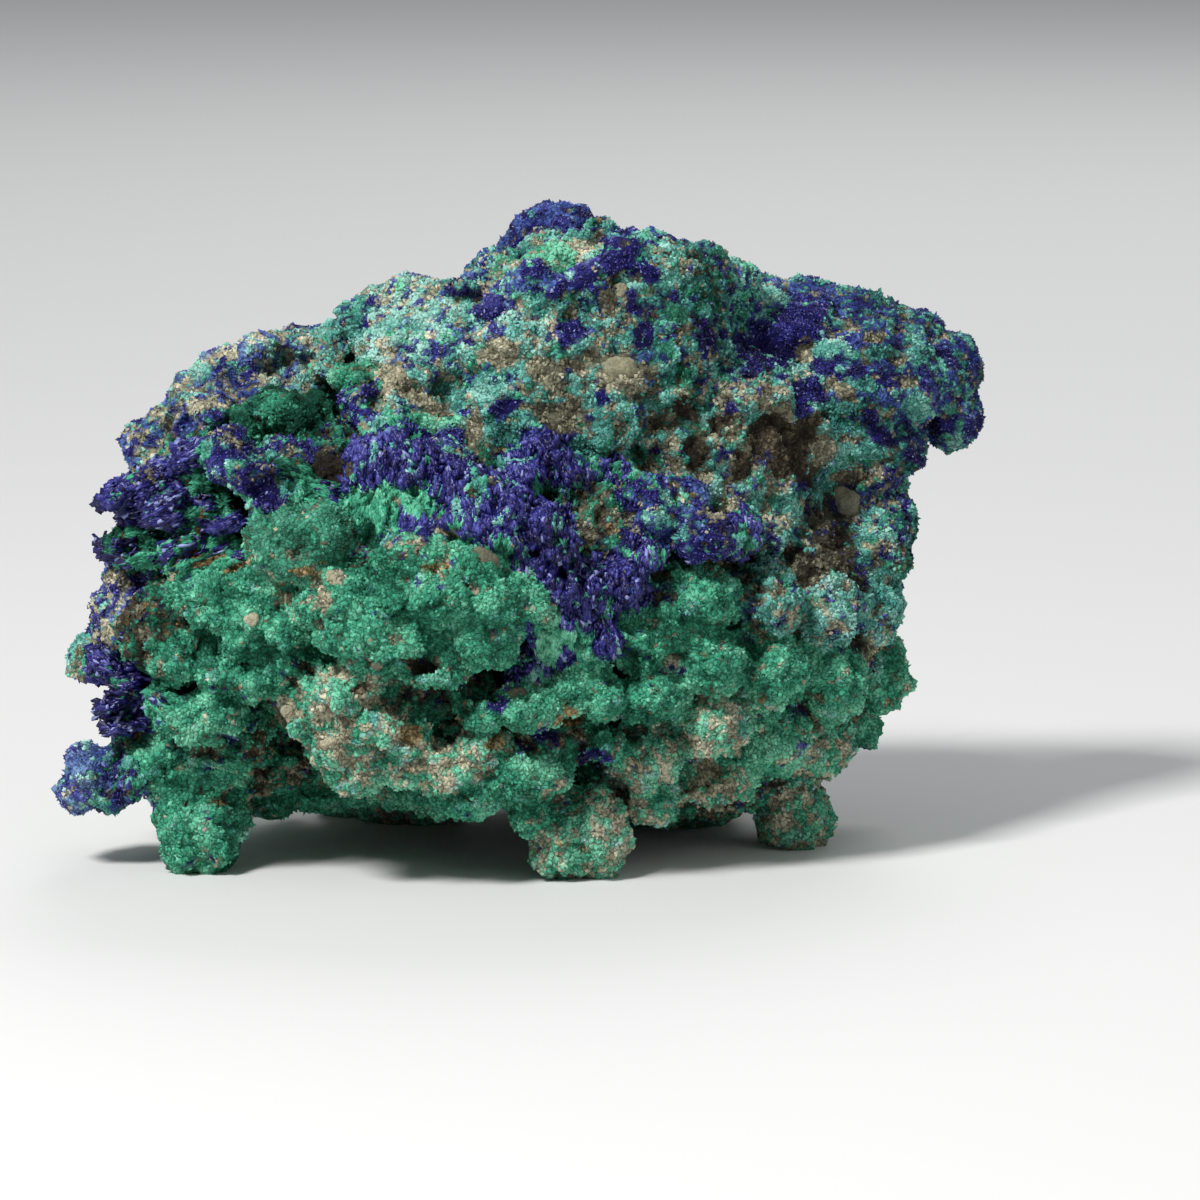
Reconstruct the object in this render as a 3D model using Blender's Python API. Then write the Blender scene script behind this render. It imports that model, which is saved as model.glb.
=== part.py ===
"""Azurite and malachite specimen: one natural piece, standing on the ground-off tips of its lowest lobes.

Lobes are set out on an upright sheet through the middle of the specimen, as they look from a viewpoint
in front of it and a little above. Each one is (across, up, back, half width, half depth, half height, turn):
across and up are read on the sheet, back moves it away along the line of sight, and turn tips it about
the front-to-back axis. All of these are millimetres and degrees. They are fused into one solid.
"""

import math
import random

import bmesh
import bpy
from mathutils import Matrix, Vector, noise

MM = 0.001
VIEWPOINT = Vector((4.2, -437.8, 78.5))  # mm
CENTRE = Vector((0.1, 2.9, 0.0))  # mm, moves the fused lobes so that the box is centred on the origin

LOBE_ROUNDNESS = 3  # icosphere subdivisions
FUSE_VOXEL = 0.62  # mm
KNOB_SIZE = 2.1  # mm, spacing of the small knobs on every lobe
KNOB_HEIGHT = 0.3  # mm
ROUGH_SIZE = 5.5  # mm, spacing of the slower swells
ROUGH_HEIGHT = 0.4  # mm
TRIANGLES = 9600

CORE = [
    (-9, 14, 2, 11, 9, 8.5, 0),
    (6, 22, 6, 12, 10, 9, 0),
    (6, 10, 4, 13, 10, 8.5, 0),
    (-13, 21, 6, 7, 6, 5, 0),
    (-17, 9, 1, 5, 6, 5.5, 0),
    (2.8, 19.6, -5.2, 3.2, 3.2, 2.6, 0),
    (4.8, 17.4, -6, 2.6, 3.0, 2.0, 0),
    (-9.4, 16.0, -8.2, 2.6, 3.0, 2.6, 0),
    (-13.4, 14.4, -6.6, 2.6, 3.0, 2.2, 0),
    (-12.4, 10.6, -7, 2.8, 3.0, 2.2, 0),
    (1.6, 6.9, -7, 2.8, 3.0, 2.0, 0),
    (-5.4, 9.3, -8, 3.2, 3.0, 1.8, 0),
    (-4.4, 23.4, -3.2, 4.4, 3.4, 2.0, 0),
    (-2.6, 22.4, -5, 2.8, 2.6, 1.3, 0),
    (-3.0, 21.4, -6.6, 2.8, 2.4, 1.3, 0),
    (-3.4, 29.0, 9, 3.4, 4.0, 2.2, 0),
    (-16.6, 6.8, -3, 3.0, 3.4, 2.6, 0),
    (-13.6, 5.2, -1.6, 2.6, 3.4, 1.7, 0),
    (10.6, 24.6, 1.5, 2.6, 3.8, 2.2, 0),
    (-19.8, 12.6, -4.2, 2.6, 3.2, 2.6, 0),
    (6.8, 13.6, -5.6, 3.4, 3.4, 3.0, 0),
    (15.0, 13.6, 5, 5.2, 8, 7.4, 0),
    (17.0, 22.4, 9, 4.4, 4.6, 4.0, 0),
    (-18.4, 15.0, 2.6, 4.6, 6, 6, 0),
    (-16.4, 21.6, 1.4, 4.6, 5, 2.4, 0),
    (-11.0, 22.6, 1, 4, 4.4, 2.2, 0),
    (0, 15.0, 10, 15, 7, 9.5, 0),
    (-10.0, 9.0, 6, 9, 8, 4.6, 0),
]

CROWN = [
    (1.8, 34.3, 9, 2.6, 3.2, 2.2, 0),
    (0.4, 33.2, 8, 2.0, 3.0, 2.2, 20),
    (1.8, 33.0, 4.6, 2.8, 4.0, 1.9, 0),
    (-1.4, 32.2, 6, 1.7, 2.6, 1.9, 30),
    (2.0, 33.2, 1.5, 2.7, 2.4, 0.9, -8),
    (1.6, 32.0, 3, 4.0, 3.5, 2.0, 0),
    (4.3, 34.5, 4, 1.1, 1.8, 1.2, 0),
    (5.6, 33.9, 2.5, 1.6, 1.8, 1.0, 8),
    (5.1, 32.9, -0.5, 1.9, 1.5, 0.9, -35),
    (0.4, 32.0, -1.5, 1.1, 1.3, 0.9, 0),
    (2.0, 31.6, -2, 1.3, 1.3, 0.9, 0),
    (3.7, 31.9, -2, 1.3, 1.3, 1.0, 0),
    (1.8, 30.6, -2.6, 1.3, 1.4, 0.9, 0),
    (-0.6, 31.3, -1.5, 1.1, 1.3, 0.8, 0),
    (-1.6, 30.5, -3, 1.1, 1.2, 0.8, -30),
    (-3.5, 31.6, 0, 1.1, 1.4, 0.7, 0),
    (7.6, 32.9, 1, 2.5, 3.0, 1.8, 10),
    (9.6, 32.4, 3, 2.1, 3.2, 1.8, 20),
    (11.2, 31.2, 6, 1.8, 3.2, 1.7, 30),
]

BOULDER = [
    (1.0, 26.4, 2, 7.0, 8.0, 5.6, 0),
    (-3.0, 28.2, 2, 4.2, 6.0, 3.4, 0),
    (-6.4, 28.6, 2, 2.8, 4.6, 2.6, 0),
    (-8.4, 29.6, 4, 1.8, 3.6, 1.8, 0),
    (-6.2, 30.6, 4, 2.4, 3.6, 1.5, 0),
    (-4.6, 30.4, 2, 2.0, 3.0, 1.5, 0),
    (-1.8, 24.8, -3, 2.2, 3.2, 2.4, 0),
    (1.4, 23.6, -3, 2.8, 3.4, 2.2, 0),
    (4.4, 24.4, -2.5, 2.6, 3.6, 2.4, 0),
    (3.2, 28.4, -1.5, 2.6, 3.4, 2.2, 0),
    (0.0, 28.6, -2.5, 2.4, 3.2, 2.0, 0),
    (7.6, 28.8, 2, 3.6, 6.4, 4.4, 0),
    (9.6, 28.8, 4, 2.2, 5.6, 3.8, 0),
    (6.0, 30.2, 0, 1.3, 3.0, 2.2, 0),
    (5.6, 27.0, -3, 1.9, 2.8, 1.5, 0),
    (8.2, 26.0, 0, 2.1, 4.0, 1.6, 0),
    (6.8, 23.4, 0, 2.4, 4.0, 1.9, 0),
]

RIGHT_WING = [
    (13.0, 30.3, 11, 2.4, 4.0, 1.9, 10),
    (15.6, 30.0, 12, 3.0, 4.8, 2.1, 0),
    (18.4, 29.4, 12, 3.0, 4.8, 2.3, 10),
    (20.8, 28.0, 12, 2.8, 4.6, 2.6, 25),
    (22.6, 26.4, 12, 2.4, 4.2, 2.9, 35),
    (23.4, 24.9, 12, 1.8, 3.6, 2.2, 0),
    (13.6, 28.4, 7, 2.0, 2.8, 1.8, 0),
    (15.4, 29.2, 7, 1.9, 2.4, 1.2, 0),
    (16.7, 27.8, 6, 1.8, 2.0, 1.0, -10),
    (18.4, 28.6, 7, 2.0, 2.4, 1.4, 0),
    (18.4, 25.8, 6, 2.7, 3.6, 2.6, 0),
    (20.6, 26.2, 8, 2.2, 3.6, 2.8, 0),
    (18.2, 23.4, 6, 2.6, 3.0, 1.7, 0),
    (20.4, 22.9, 7, 2.0, 3.0, 1.7, 20),
    (19.2, 21.4, 6, 1.7, 2.6, 1.3, 0),
]

RIGHT_FLANK = [
    (12.0, 26.0, 1, 2.5, 3.4, 1.5, 22),
    (14.0, 25.4, 0, 0.8, 1.2, 0.8, 0),
    (12.4, 23.6, 4, 1.8, 3.0, 1.6, 0),
    (11.0, 22.4, 1, 1.3, 2.6, 1.9, 15),
    (8.4, 21.8, -1, 1.4, 2.4, 1.3, 0),
    (10.4, 20.2, 0, 1.5, 2.6, 1.3, 0),
    (14.2, 20.6, 2, 1.8, 3.4, 1.9, 0),
    (13.2, 18.4, 1, 2.2, 3.4, 1.9, 0),
    (15.6, 18.6, 3, 1.2, 2.8, 1.7, 0),
    (17.6, 19.6, 6, 1.8, 2.6, 1.5, 0),
    (20.0, 18.8, 6, 1.8, 3.4, 1.4, 15),
    (18.8, 17.0, 5, 2.8, 4.0, 2.2, 0),
]

AZURITE_RIGHT = [
    (5.2, 21.0, -5, 1.5, 1.8, 0.9, 15),
    (6.7, 20.2, -6, 1.7, 2.0, 1.0, 20),
    (8.8, 20.1, -5, 1.6, 1.8, 0.9, 10),
    (7.4, 18.6, -7, 1.3, 2.0, 1.1, 0),
    (9.8, 17.9, -7, 1.9, 2.4, 1.3, 10),
    (12.0, 18.0, -5, 1.1, 2.2, 1.5, 15),
    (6.4, 17.0, -7.5, 1.5, 2.2, 0.8, 0),
    (5.4, 15.2, -9.5, 1.5, 2.2, 1.3, 25),
    (3.6, 14.8, -9.5, 1.3, 2.0, 1.6, 10),
    (4.4, 12.9, -9, 1.4, 2.2, 1.6, 0),
]

AZURITE_RIDGE = [
    (-8.7, 21.7, -8, 1.2, 1.9, 1.5, 0),
    (-7.2, 21.9, -8.5, 1.3, 2.0, 1.6, 0),
    (-5.6, 21.7, -9, 1.3, 2.0, 1.5, 10),
    (-4.0, 20.9, -9.5, 1.5, 2.2, 1.4, 20),
    (-2.3, 20.1, -10, 1.5, 2.2, 1.4, 20),
    (-0.6, 19.3, -10.5, 1.5, 2.2, 1.4, 20),
    (0.9, 18.5, -10.5, 1.3, 2.0, 1.4, 35),
    (1.9, 17.3, -10.5, 1.2, 2.0, 1.3, 50),
    (-3.2, 18.8, -11, 1.6, 1.8, 0.9, 10),
    (-1.2, 17.8, -11.6, 1.3, 1.6, 0.8, 0),
    (1.3, 22.2, -6.5, 1.5, 2.0, 1.2, 10),
    (2.5, 21.4, -7, 1.2, 1.8, 1.2, 0),
    (-1.7, 22.2, -5.5, 1.0, 1.4, 0.6, 0),
    (1.3, 15.4, -10.5, 0.9, 1.6, 1.5, 10),
    (2.4, 15.2, -10.5, 0.9, 1.6, 1.5, 10),
]

CURTAIN = [
    (-8.9, 19.2, -8.5, 0.9, 1.8, 1.6, 0),
    (-7.4, 19.0, -9.2, 1.1, 1.9, 1.7, 0),
    (-6.0, 18.7, -10, 1.1, 1.9, 1.5, 0),
]

MALACHITE_LOBES = [
    (-13.1, 18.0, -8.5, 2.2, 3.4, 2.0, 0),
    (-11.0, 18.0, -9.2, 1.9, 3.2, 1.8, 0),
    (-14.4, 16.8, -8.2, 1.1, 2.4, 1.3, 0),
    (-12.5, 16.3, -9.5, 1.8, 2.8, 0.9, 0),
    (-5.8, 16.9, -11, 2.2, 3.2, 1.6, 0),
    (-3.2, 16.2, -11.6, 2.0, 3.0, 1.3, 0),
    (-4.6, 14.6, -12.6, 2.4, 3.2, 1.3, -10),
    (-1.8, 13.7, -12.2, 2.4, 3.2, 2.4, 0),
    (-2.2, 12.1, -12.4, 2.0, 2.8, 1.4, 10),
    (0.3, 14.0, -11, 1.3, 2.8, 2.0, 0),
    (1.8, 12.6, -9.8, 1.6, 2.6, 1.6, 0),
    (3.2, 11.6, -9.2, 1.5, 2.4, 1.3, 0),
    (-10.4, 14.2, -11.2, 2.2, 3.2, 1.2, -15),
    (-9.0, 12.8, -11.8, 2.4, 3.2, 1.4, -20),
    (-7.4, 11.5, -12, 2.2, 3.0, 1.1, -15),
    (-10.7, 15.5, -10.6, 0.9, 1.8, 0.7, 0),
    (-5.9, 12.6, -11, 1.4, 2.4, 1.3, 0),
    (-5.2, 10.2, -11.4, 2.0, 2.6, 0.8, 0),
]

LEFT_LOBES = [
    (-18.4, 14.8, -6.5, 1.4, 2.6, 1.1, 10),
    (-16.6, 14.9, -7.2, 1.8, 2.8, 1.2, 0),
    (-17.0, 13.3, -7.8, 1.6, 2.6, 0.9, 15),
    (-14.9, 13.6, -8, 1.4, 2.6, 1.2, 0),
    (-13.1, 12.6, -9, 1.4, 2.4, 1.1, 0),
    (-15.6, 12.0, -8.4, 1.6, 2.2, 0.8, 0),
    (-18.9, 11.0, -6.6, 1.2, 2.4, 1.3, 40),
    (-16.6, 10.4, -7.6, 1.5, 2.4, 1.1, -15),
    (-14.6, 9.9, -8.2, 1.5, 2.4, 1.0, -20),
    (-19.9, 8.7, -6, 1.2, 2.2, 1.0, 35),
    (-18.6, 7.6, -6.6, 1.9, 2.4, 1.2, 10),
    (-16.7, 8.3, -6.8, 1.6, 2.4, 1.1, 25),
    (-19.6, 4.9, -2.6, 1.8, 3.0, 1.7, 0),
    (-17.2, 5.1, -3, 1.8, 3.2, 1.6, 20),
    (-15.0, 6.0, -0.5, 1.8, 3.2, 1.7, 0),
    (-13.2, 5.0, 2, 2.0, 3.4, 1.8, 0),
    (-21.6, 4.6, -3, 1.5, 2.4, 1.3, 30),
    (-24.0, 5.0, -2.6, 1.5, 2.4, 1.2, 20),
    (-24.4, 3.8, -2.6, 1.2, 2.2, 1.4, 0),
    (-23.0, 3.5, -2.8, 1.3, 2.2, 1.1, 0),
]

FEET = [
    (-18.9, 1.5, -4.2, 1.6, 2.6, 2.7, -10),
    (-17.3, 1.4, -4, 1.7, 2.8, 2.6, 0),
    (-16.2, 2.4, -2.4, 1.3, 2.8, 1.9, 0),
    (2.0, 1.0, -6.2, 1.8, 2.9, 2.9, 0),
    (3.8, 1.3, -6, 1.8, 2.9, 2.9, 0),
    (0.5, 2.5, -7, 1.4, 2.6, 1.3, 30),
    (15.0, 2.2, 4, 2.2, 3.2, 2.6, 0),
]

FRONT_BULGE = [
    (-11.6, 8.2, -9.6, 1.8, 3.2, 1.4, -40),
    (-9.8, 9.5, -10.8, 2.2, 3.2, 1.3, -20),
    (-10.4, 6.4, -9.6, 1.8, 3.2, 1.7, -30),
    (-8.6, 7.2, -10.8, 2.2, 3.4, 1.6, 0),
    (-9.0, 4.9, -9, 2.0, 3.2, 1.4, -20),
    (-6.5, 5.7, -9.8, 2.0, 3.4, 1.8, 0),
    (-6.0, 7.6, -8.8, 1.5, 2.8, 1.0, 0),
    (-4.5, 5.1, -9.4, 1.7, 3.2, 1.7, 0),
    (-2.6, 5.9, -9, 1.7, 3.0, 1.4, 0),
    (-3.2, 3.6, -8.6, 1.9, 3.2, 1.3, 0),
    (-0.9, 4.6, -8.8, 1.6, 2.8, 1.4, 0),
    (1.1, 4.6, -8.4, 1.5, 2.6, 1.4, -25),
    (-2.5, 8.1, -10, 1.3, 2.6, 1.1, 0),
    (0.3, 8.5, -10.4, 1.9, 2.8, 1.3, 0),
    (2.7, 9.2, -9.8, 1.5, 2.6, 1.1, 0),
    (4.3, 8.9, -9.4, 1.1, 2.4, 1.4, 0),
    (4.7, 6.2, -8.2, 1.1, 2.4, 1.2, -15),
]

REAR_ARCH = [
    (-14.2, 3.3, 3, 1.8, 3.4, 1.2, 0),
    (-11.8, 3.7, 3, 1.8, 3.4, 1.1, 0),
    (-9.4, 4.0, 3, 1.8, 3.4, 1.2, 0),
    (-7.0, 4.1, 2, 1.8, 3.4, 1.2, 0),
    (-4.6, 3.9, 0, 1.8, 3.4, 1.3, 0),
]

LEFT_EDGE = [
    (-22.2, 20.0, -3.6, 1.5, 2.2, 0.9, -20),
    (-20.9, 20.9, -3.4, 1.5, 2.2, 0.7, -25),
    (-19.8, 20.1, -4.4, 1.4, 1.8, 0.7, -25),
    (-19.4, 19.0, -4.6, 1.3, 1.8, 0.6, -20),
    (-21.4, 18.3, -3, 1.7, 2.2, 0.6, -10),
    (-22.5, 17.4, -2.6, 1.2, 2.0, 0.7, 0),
    (-20.9, 17.0, -3.4, 1.5, 2.0, 0.7, -25),
    (-22.2, 15.8, -0.8, 1.2, 2.6, 1.0, -20),
    (-21.2, 14.4, -1, 1.8, 2.8, 1.1, 0),
    (-22.9, 14.0, 0, 1.0, 2.4, 0.9, 0),
    (-22.6, 12.6, -0.6, 1.5, 2.8, 1.0, 20),
    (-24.1, 11.2, -0.4, 1.0, 2.2, 1.3, 0),
    (-22.9, 10.8, -1.4, 1.3, 2.6, 1.1, 30),
    (-22.0, 9.5, -2.2, 1.1, 2.4, 1.0, 0),
    (-22.6, 8.6, -2.6, 1.0, 2.2, 0.5, -25),
    (-22.1, 7.4, -2.8, 1.3, 2.2, 0.6, -8),
    (-22.0, 6.5, -2.4, 0.9, 2.2, 0.8, 0),
]

UPPER_LEFT = [
    (-18.2, 22.4, -4.4, 1.1, 1.8, 0.6, -20),
    (-17.1, 24.4, -2, 0.8, 1.4, 0.5, 0),
    (-16.2, 23.0, -5.4, 1.3, 2.2, 1.0, -30),
    (-16.5, 21.9, -6, 0.9, 2.0, 1.1, 0),
    (-15.3, 21.2, -6.8, 1.1, 2.2, 1.4, 0),
    (-14.0, 21.6, -6.4, 1.6, 2.2, 1.1, 10),
    (-12.8, 22.6, -4.6, 1.6, 2.0, 0.5, 20),
    (-12.0, 21.3, -6.4, 2.0, 2.2, 0.9, 25),
    (-10.8, 20.4, -7.2, 1.2, 2.0, 0.8, 20),
    (-12.9, 20.3, -8, 0.9, 1.6, 0.5, 0),
    (-14.3, 19.8, -7.6, 1.2, 1.6, 0.5, -15),
    (-17.6, 20.8, -3.4, 1.2, 2.4, 1.1, 0),
    (-17.4, 19.4, -4.6, 1.6, 2.2, 0.6, -22),
    (-16.4, 18.6, -5.8, 1.1, 1.6, 0.4, -22),
    (-18.8, 17.5, -4.4, 1.6, 2.4, 0.6, -22),
    (-17.0, 17.0, -5, 1.6, 2.2, 0.6, -22),
    (-18.6, 16.4, -5, 1.3, 2.2, 0.5, -22),
]

BACK_RIDGE = [
    (-21.1, 23.1, 3.6, 1.2, 2.8, 1.2, 0),
    (-20.2, 22.1, 3, 1.5, 2.8, 1.5, 0),
    (-19.6, 24.2, 5, 1.4, 3.0, 1.2, 0),
    (-18.4, 25.7, 6.4, 1.3, 3.0, 1.3, -30),
    (-16.6, 27.1, 7.6, 1.6, 3.2, 1.1, -25),
    (-14.4, 28.3, 8.6, 1.7, 3.2, 1.0, -15),
    (-11.9, 28.7, 9, 1.8, 3.2, 1.0, 0),
    (-9.6, 29.0, 7.6, 1.6, 3.2, 1.1, -10),
    (-17.2, 25.0, 4.4, 1.6, 2.8, 1.0, 0),
    (-15.0, 25.9, 6.4, 1.8, 2.8, 1.0, 0),
    (-12.8, 26.6, 8.6, 2.0, 2.4, 1.2, 0),
    (-10.4, 27.2, 5.4, 1.3, 2.8, 1.4, 20),
    (-13.8, 24.9, 0.4, 1.2, 2.2, 1.1, 0),
    (-12.6, 24.6, -0.4, 1.1, 2.2, 1.3, 0),
    (-11.4, 24.7, 0.6, 1.1, 2.2, 1.1, 0),
    (-15.3, 24.1, 0.4, 1.1, 2.2, 0.9, 0),
]

UPPER_LEDGES = [
    (-9.2, 26.7, -1, 1.2, 2.2, 0.8, 0),
    (-9.0, 25.7, -3, 1.3, 1.8, 0.5, -20),
    (-8.7, 24.5, -4, 1.2, 1.8, 0.6, 0),
    (-7.1, 24.9, -4, 1.1, 1.6, 0.6, -15),
    (-5.6, 26.7, -3, 1.2, 2.0, 1.0, 0),
    (-5.3, 25.3, -4, 1.3, 1.8, 0.5, 10),
    (-4.8, 24.2, -5, 1.4, 1.8, 0.5, 10),
    (-7.4, 23.8, -5, 1.8, 1.8, 0.5, 0),
    (-6.8, 26.0, -2.4, 1.4, 2.2, 1.6, 0),
    (-4.4, 22.8, -5.6, 1.6, 2.0, 0.8, 0),
]

LOWER_RIGHT = [
    (6.6, 12.4, -7, 2.2, 3.4, 2.0, 0),
    (7.0, 9.0, -7.4, 2.0, 3.2, 1.7, 0),
    (6.6, 5.6, -5.6, 1.9, 3.0, 1.8, 0),
    (7.4, 3.2, -3.6, 1.9, 3.0, 1.5, 0),
    (9.8, 14.4, -6, 2.2, 3.4, 1.8, -10),
    (10.2, 11.0, -6.4, 2.1, 3.4, 1.8, 0),
    (10.4, 7.4, -5, 2.1, 3.2, 1.8, 0),
    (10.6, 4.2, -2.6, 2.0, 3.2, 1.5, 0),
    (13.2, 14.2, -3.4, 2.2, 3.6, 2.0, -15),
    (13.6, 10.4, -3.8, 2.1, 3.4, 1.9, 0),
    (13.4, 6.6, -1.6, 2.1, 3.4, 1.9, 0),
    (16.4, 13.6, -0.4, 2.1, 3.8, 2.0, -20),
    (16.8, 9.8, -0.2, 2.0, 3.6, 2.0, 0),
    (16.2, 6.0, 1.6, 2.0, 3.6, 1.9, 0),
    (19.0, 14.0, 4, 2.1, 4.0, 2.1, -20),
    (19.4, 10.2, 5, 1.8, 3.8, 2.0, 0),
]

REAR = [
    (-19.2, 19.2, 5, 2.0, 4.2, 3.0, 15),
    (-19.2, 12.2, 6.5, 3.4, 4.6, 3.6, -10),
    (-17.6, 7.2, 6, 3.0, 4.4, 2.6, 20),
    (-14.8, 19.4, 10.5, 4.2, 4.4, 3.6, 25),
    (-13.6, 11.0, 12, 4.8, 4.0, 4.4, 0),
    (-10.6, 24.8, 11.5, 3.6, 3.8, 2.6, -15),
    (-9.4, 5.6, 10.5, 4.4, 4.6, 2.6, 10),
    (-6.4, 18.4, 15, 4.6, 3.4, 3.8, -20),
    (-4.4, 11.0, 16, 5.2, 3.2, 3.2, 15),
    (-3.6, 26.6, 13, 4.4, 3.6, 3.0, -10),
    (0.6, 21.6, 16.5, 3.2, 2.8, 2.6, 0),
    (1.4, 6.4, 15, 4.2, 3.6, 2.4, -10),
    (3.4, 28.8, 13, 3.4, 3.4, 3.0, 0),
    (4.2, 15.6, 18, 5.4, 2.4, 3.4, 10),
    (8.6, 24.6, 15.5, 4.4, 3.4, 3.6, 20),
    (9.8, 9.6, 15, 4.6, 3.6, 3.6, -15),
    (12.0, 17.6, 16, 3.8, 3.2, 3.0, 0),
    (16.2, 23.0, 13.5, 3.6, 3.6, 3.4, -20),
    (17.2, 15.6, 12, 3.4, 4.2, 3.8, 10),
    (15.4, 8.4, 10, 3.6, 4.4, 3.2, 0),
    (17.6, 20.2, 10, 2.0, 3.4, 2.4, 20),
    (-6.4, 3.8, 13, 3.6, 4.0, 3.0, 10),
    (8.8, 3.8, 12, 4.0, 4.4, 3.2, -10),
]

LOBES = (
    CORE + CROWN + BOULDER + RIGHT_WING + RIGHT_FLANK + AZURITE_RIGHT + AZURITE_RIDGE + CURTAIN
    + MALACHITE_LOBES + LEFT_LOBES + FEET + FRONT_BULGE + REAR_ARCH + LEFT_EDGE + UPPER_LEFT
    + BACK_RIDGE + UPPER_LEDGES + LOWER_RIGHT + REAR
)

KNOBS_PER_MASS = 9
KNOB_RADII = (0.8, 2.1)  # mm
KNOB_SEED = 7


def clear_scene():
    for old in list(bpy.data.objects):
        bpy.data.objects.remove(old)


def sight_point(across, up, back):
    """The point on the line of sight through the sheet at (across, up), that far behind the sheet."""
    on_sheet = Vector((across, 0.0, up))
    away = (on_sheet - VIEWPOINT).normalized()
    return on_sheet + away * back


def rear_knobs():
    """Smaller knobs set at random on the skin of each rear mass, always the same ones."""
    draw = random.Random(KNOB_SEED)
    knobs = []
    for across, up, back, half_width, half_depth, half_height, turn in REAR:
        for _ in range(KNOBS_PER_MASS):
            out = Vector((draw.gauss(0, 1), abs(draw.gauss(0.3, 0.8)), draw.gauss(0, 1))).normalized()
            radius = draw.uniform(*KNOB_RADII)
            flat = draw.uniform(0.6, 1.0)
            lean = draw.uniform(-40, 40)
            knobs.append((
                across + out.x * half_width,
                up + out.z * half_height,
                back + out.y * half_depth,
                radius, radius * 0.9, radius * flat, lean,
            ))
    return knobs


def add_lobe(bm, lobe):
    across, up, back, half_width, half_depth, half_height, turn = lobe
    place = Matrix.Translation((sight_point(across, up, back) - CENTRE) * MM)
    tip = Matrix.Rotation(math.radians(turn), 4, "Y")
    size = Matrix.Diagonal((half_width * MM, half_depth * MM, half_height * MM, 1.0))
    bmesh.ops.create_icosphere(
        bm, subdivisions=LOBE_ROUNDNESS, radius=1.0, matrix=place @ tip @ size
    )


def with_modifier(obj, kind, **settings):
    """Puts one modifier on the object and takes its result as the object's mesh."""
    modifier = obj.modifiers.new(kind.title(), kind)
    for name, value in settings.items():
        setattr(modifier, name, value)
    graph = bpy.context.evaluated_depsgraph_get()
    made = bpy.data.meshes.new_from_object(obj.evaluated_get(graph))
    obj.modifiers.remove(modifier)
    obj.data = made


def roughen(obj):
    """Raises small round knobs and slower swells, so that no lobe stays a smooth ball."""
    mesh = obj.data
    normals = [vertex.normal.copy() for vertex in mesh.vertices]
    for vertex, normal in zip(mesh.vertices, normals):
        at = vertex.co / MM
        nearest = noise.voronoi(at / KNOB_SIZE)[0][0]
        knob = (0.45 - nearest) * KNOB_HEIGHT * 2
        swell = noise.fractal(at / ROUGH_SIZE, 0.8, 2.1, 3) * ROUGH_HEIGHT
        vertex.co += normal * (knob + swell) * MM


def grind_flat(obj):
    """Cuts the lowest lobes off at the table, which leaves each foot a flat face."""
    bm = bmesh.new()
    bm.from_mesh(obj.data)
    everything = bm.verts[:] + bm.edges[:] + bm.faces[:]
    bmesh.ops.bisect_plane(
        bm, geom=everything, plane_co=(0, 0, 0), plane_no=(0, 0, -1), clear_outer=True
    )
    rims = [edge for edge in bm.edges if edge.is_boundary]
    bmesh.ops.holes_fill(bm, edges=rims, sides=0)
    bmesh.ops.triangulate(bm, faces=bm.faces[:])
    bmesh.ops.recalc_face_normals(bm, faces=bm.faces[:])
    bm.to_mesh(obj.data)
    bm.free()


def crust_material():
    material = bpy.data.materials.new("azurite_and_malachite")
    material.use_nodes = True
    shader = material.node_tree.nodes["Principled BSDF"]
    shader.inputs["Base Color"].default_value = (0.06, 0.26, 0.22, 1.0)
    shader.inputs["Roughness"].default_value = 0.8
    shader.inputs["Metallic"].default_value = 0.0
    return material


def build():
    clear_scene()
    bm = bmesh.new()
    for lobe in LOBES + rear_knobs():
        add_lobe(bm, lobe)
    mesh = bpy.data.meshes.new("azurite_specimen")
    bm.to_mesh(mesh)
    bm.free()
    specimen = bpy.data.objects.new("azurite_specimen", mesh)
    bpy.context.scene.collection.objects.link(specimen)
    with_modifier(specimen, "REMESH", mode="VOXEL", voxel_size=FUSE_VOXEL * MM)
    roughen(specimen)
    with_modifier(specimen, "TRIANGULATE")
    faces = len(specimen.data.polygons)
    with_modifier(specimen, "DECIMATE", ratio=TRIANGLES / faces)
    grind_flat(specimen)
    specimen.data.materials.clear()
    specimen.data.materials.append(crust_material())
    specimen.data.shade_flat()
    return specimen


build()
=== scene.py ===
import itertools
import math
import random

import bmesh
import bpy
import numpy as np
from mathutils import Matrix, Vector, bvhtree, kdtree, noise


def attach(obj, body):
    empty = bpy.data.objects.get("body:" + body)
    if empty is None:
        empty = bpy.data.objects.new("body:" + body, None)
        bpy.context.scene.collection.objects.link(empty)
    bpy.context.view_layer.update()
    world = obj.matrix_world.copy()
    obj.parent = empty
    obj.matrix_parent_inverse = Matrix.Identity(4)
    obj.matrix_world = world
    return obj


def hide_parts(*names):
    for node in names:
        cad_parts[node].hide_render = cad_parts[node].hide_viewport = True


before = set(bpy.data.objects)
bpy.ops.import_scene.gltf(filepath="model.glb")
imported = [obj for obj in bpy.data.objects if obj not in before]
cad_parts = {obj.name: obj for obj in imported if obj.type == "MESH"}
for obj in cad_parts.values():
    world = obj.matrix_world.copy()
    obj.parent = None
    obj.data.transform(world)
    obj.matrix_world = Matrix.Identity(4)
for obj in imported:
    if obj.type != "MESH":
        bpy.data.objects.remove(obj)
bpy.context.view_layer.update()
print("frame loaded")

# A grown cluster of azurite and malachite on sandy rock. The body is fused from lobes, and crystals,
# fibres and crumbs grow on its skin. Lengths are in millimetres until a mesh is made.
mm = 0.001
viewpoint = Vector((4.2, -437.8, 78.5))  # the lobes are set out as they look from here
centre = Vector((0.1, 2.9, 0.0))  # moves the lobes onto the frame's origin
lookDown = math.radians(8.34)

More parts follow.
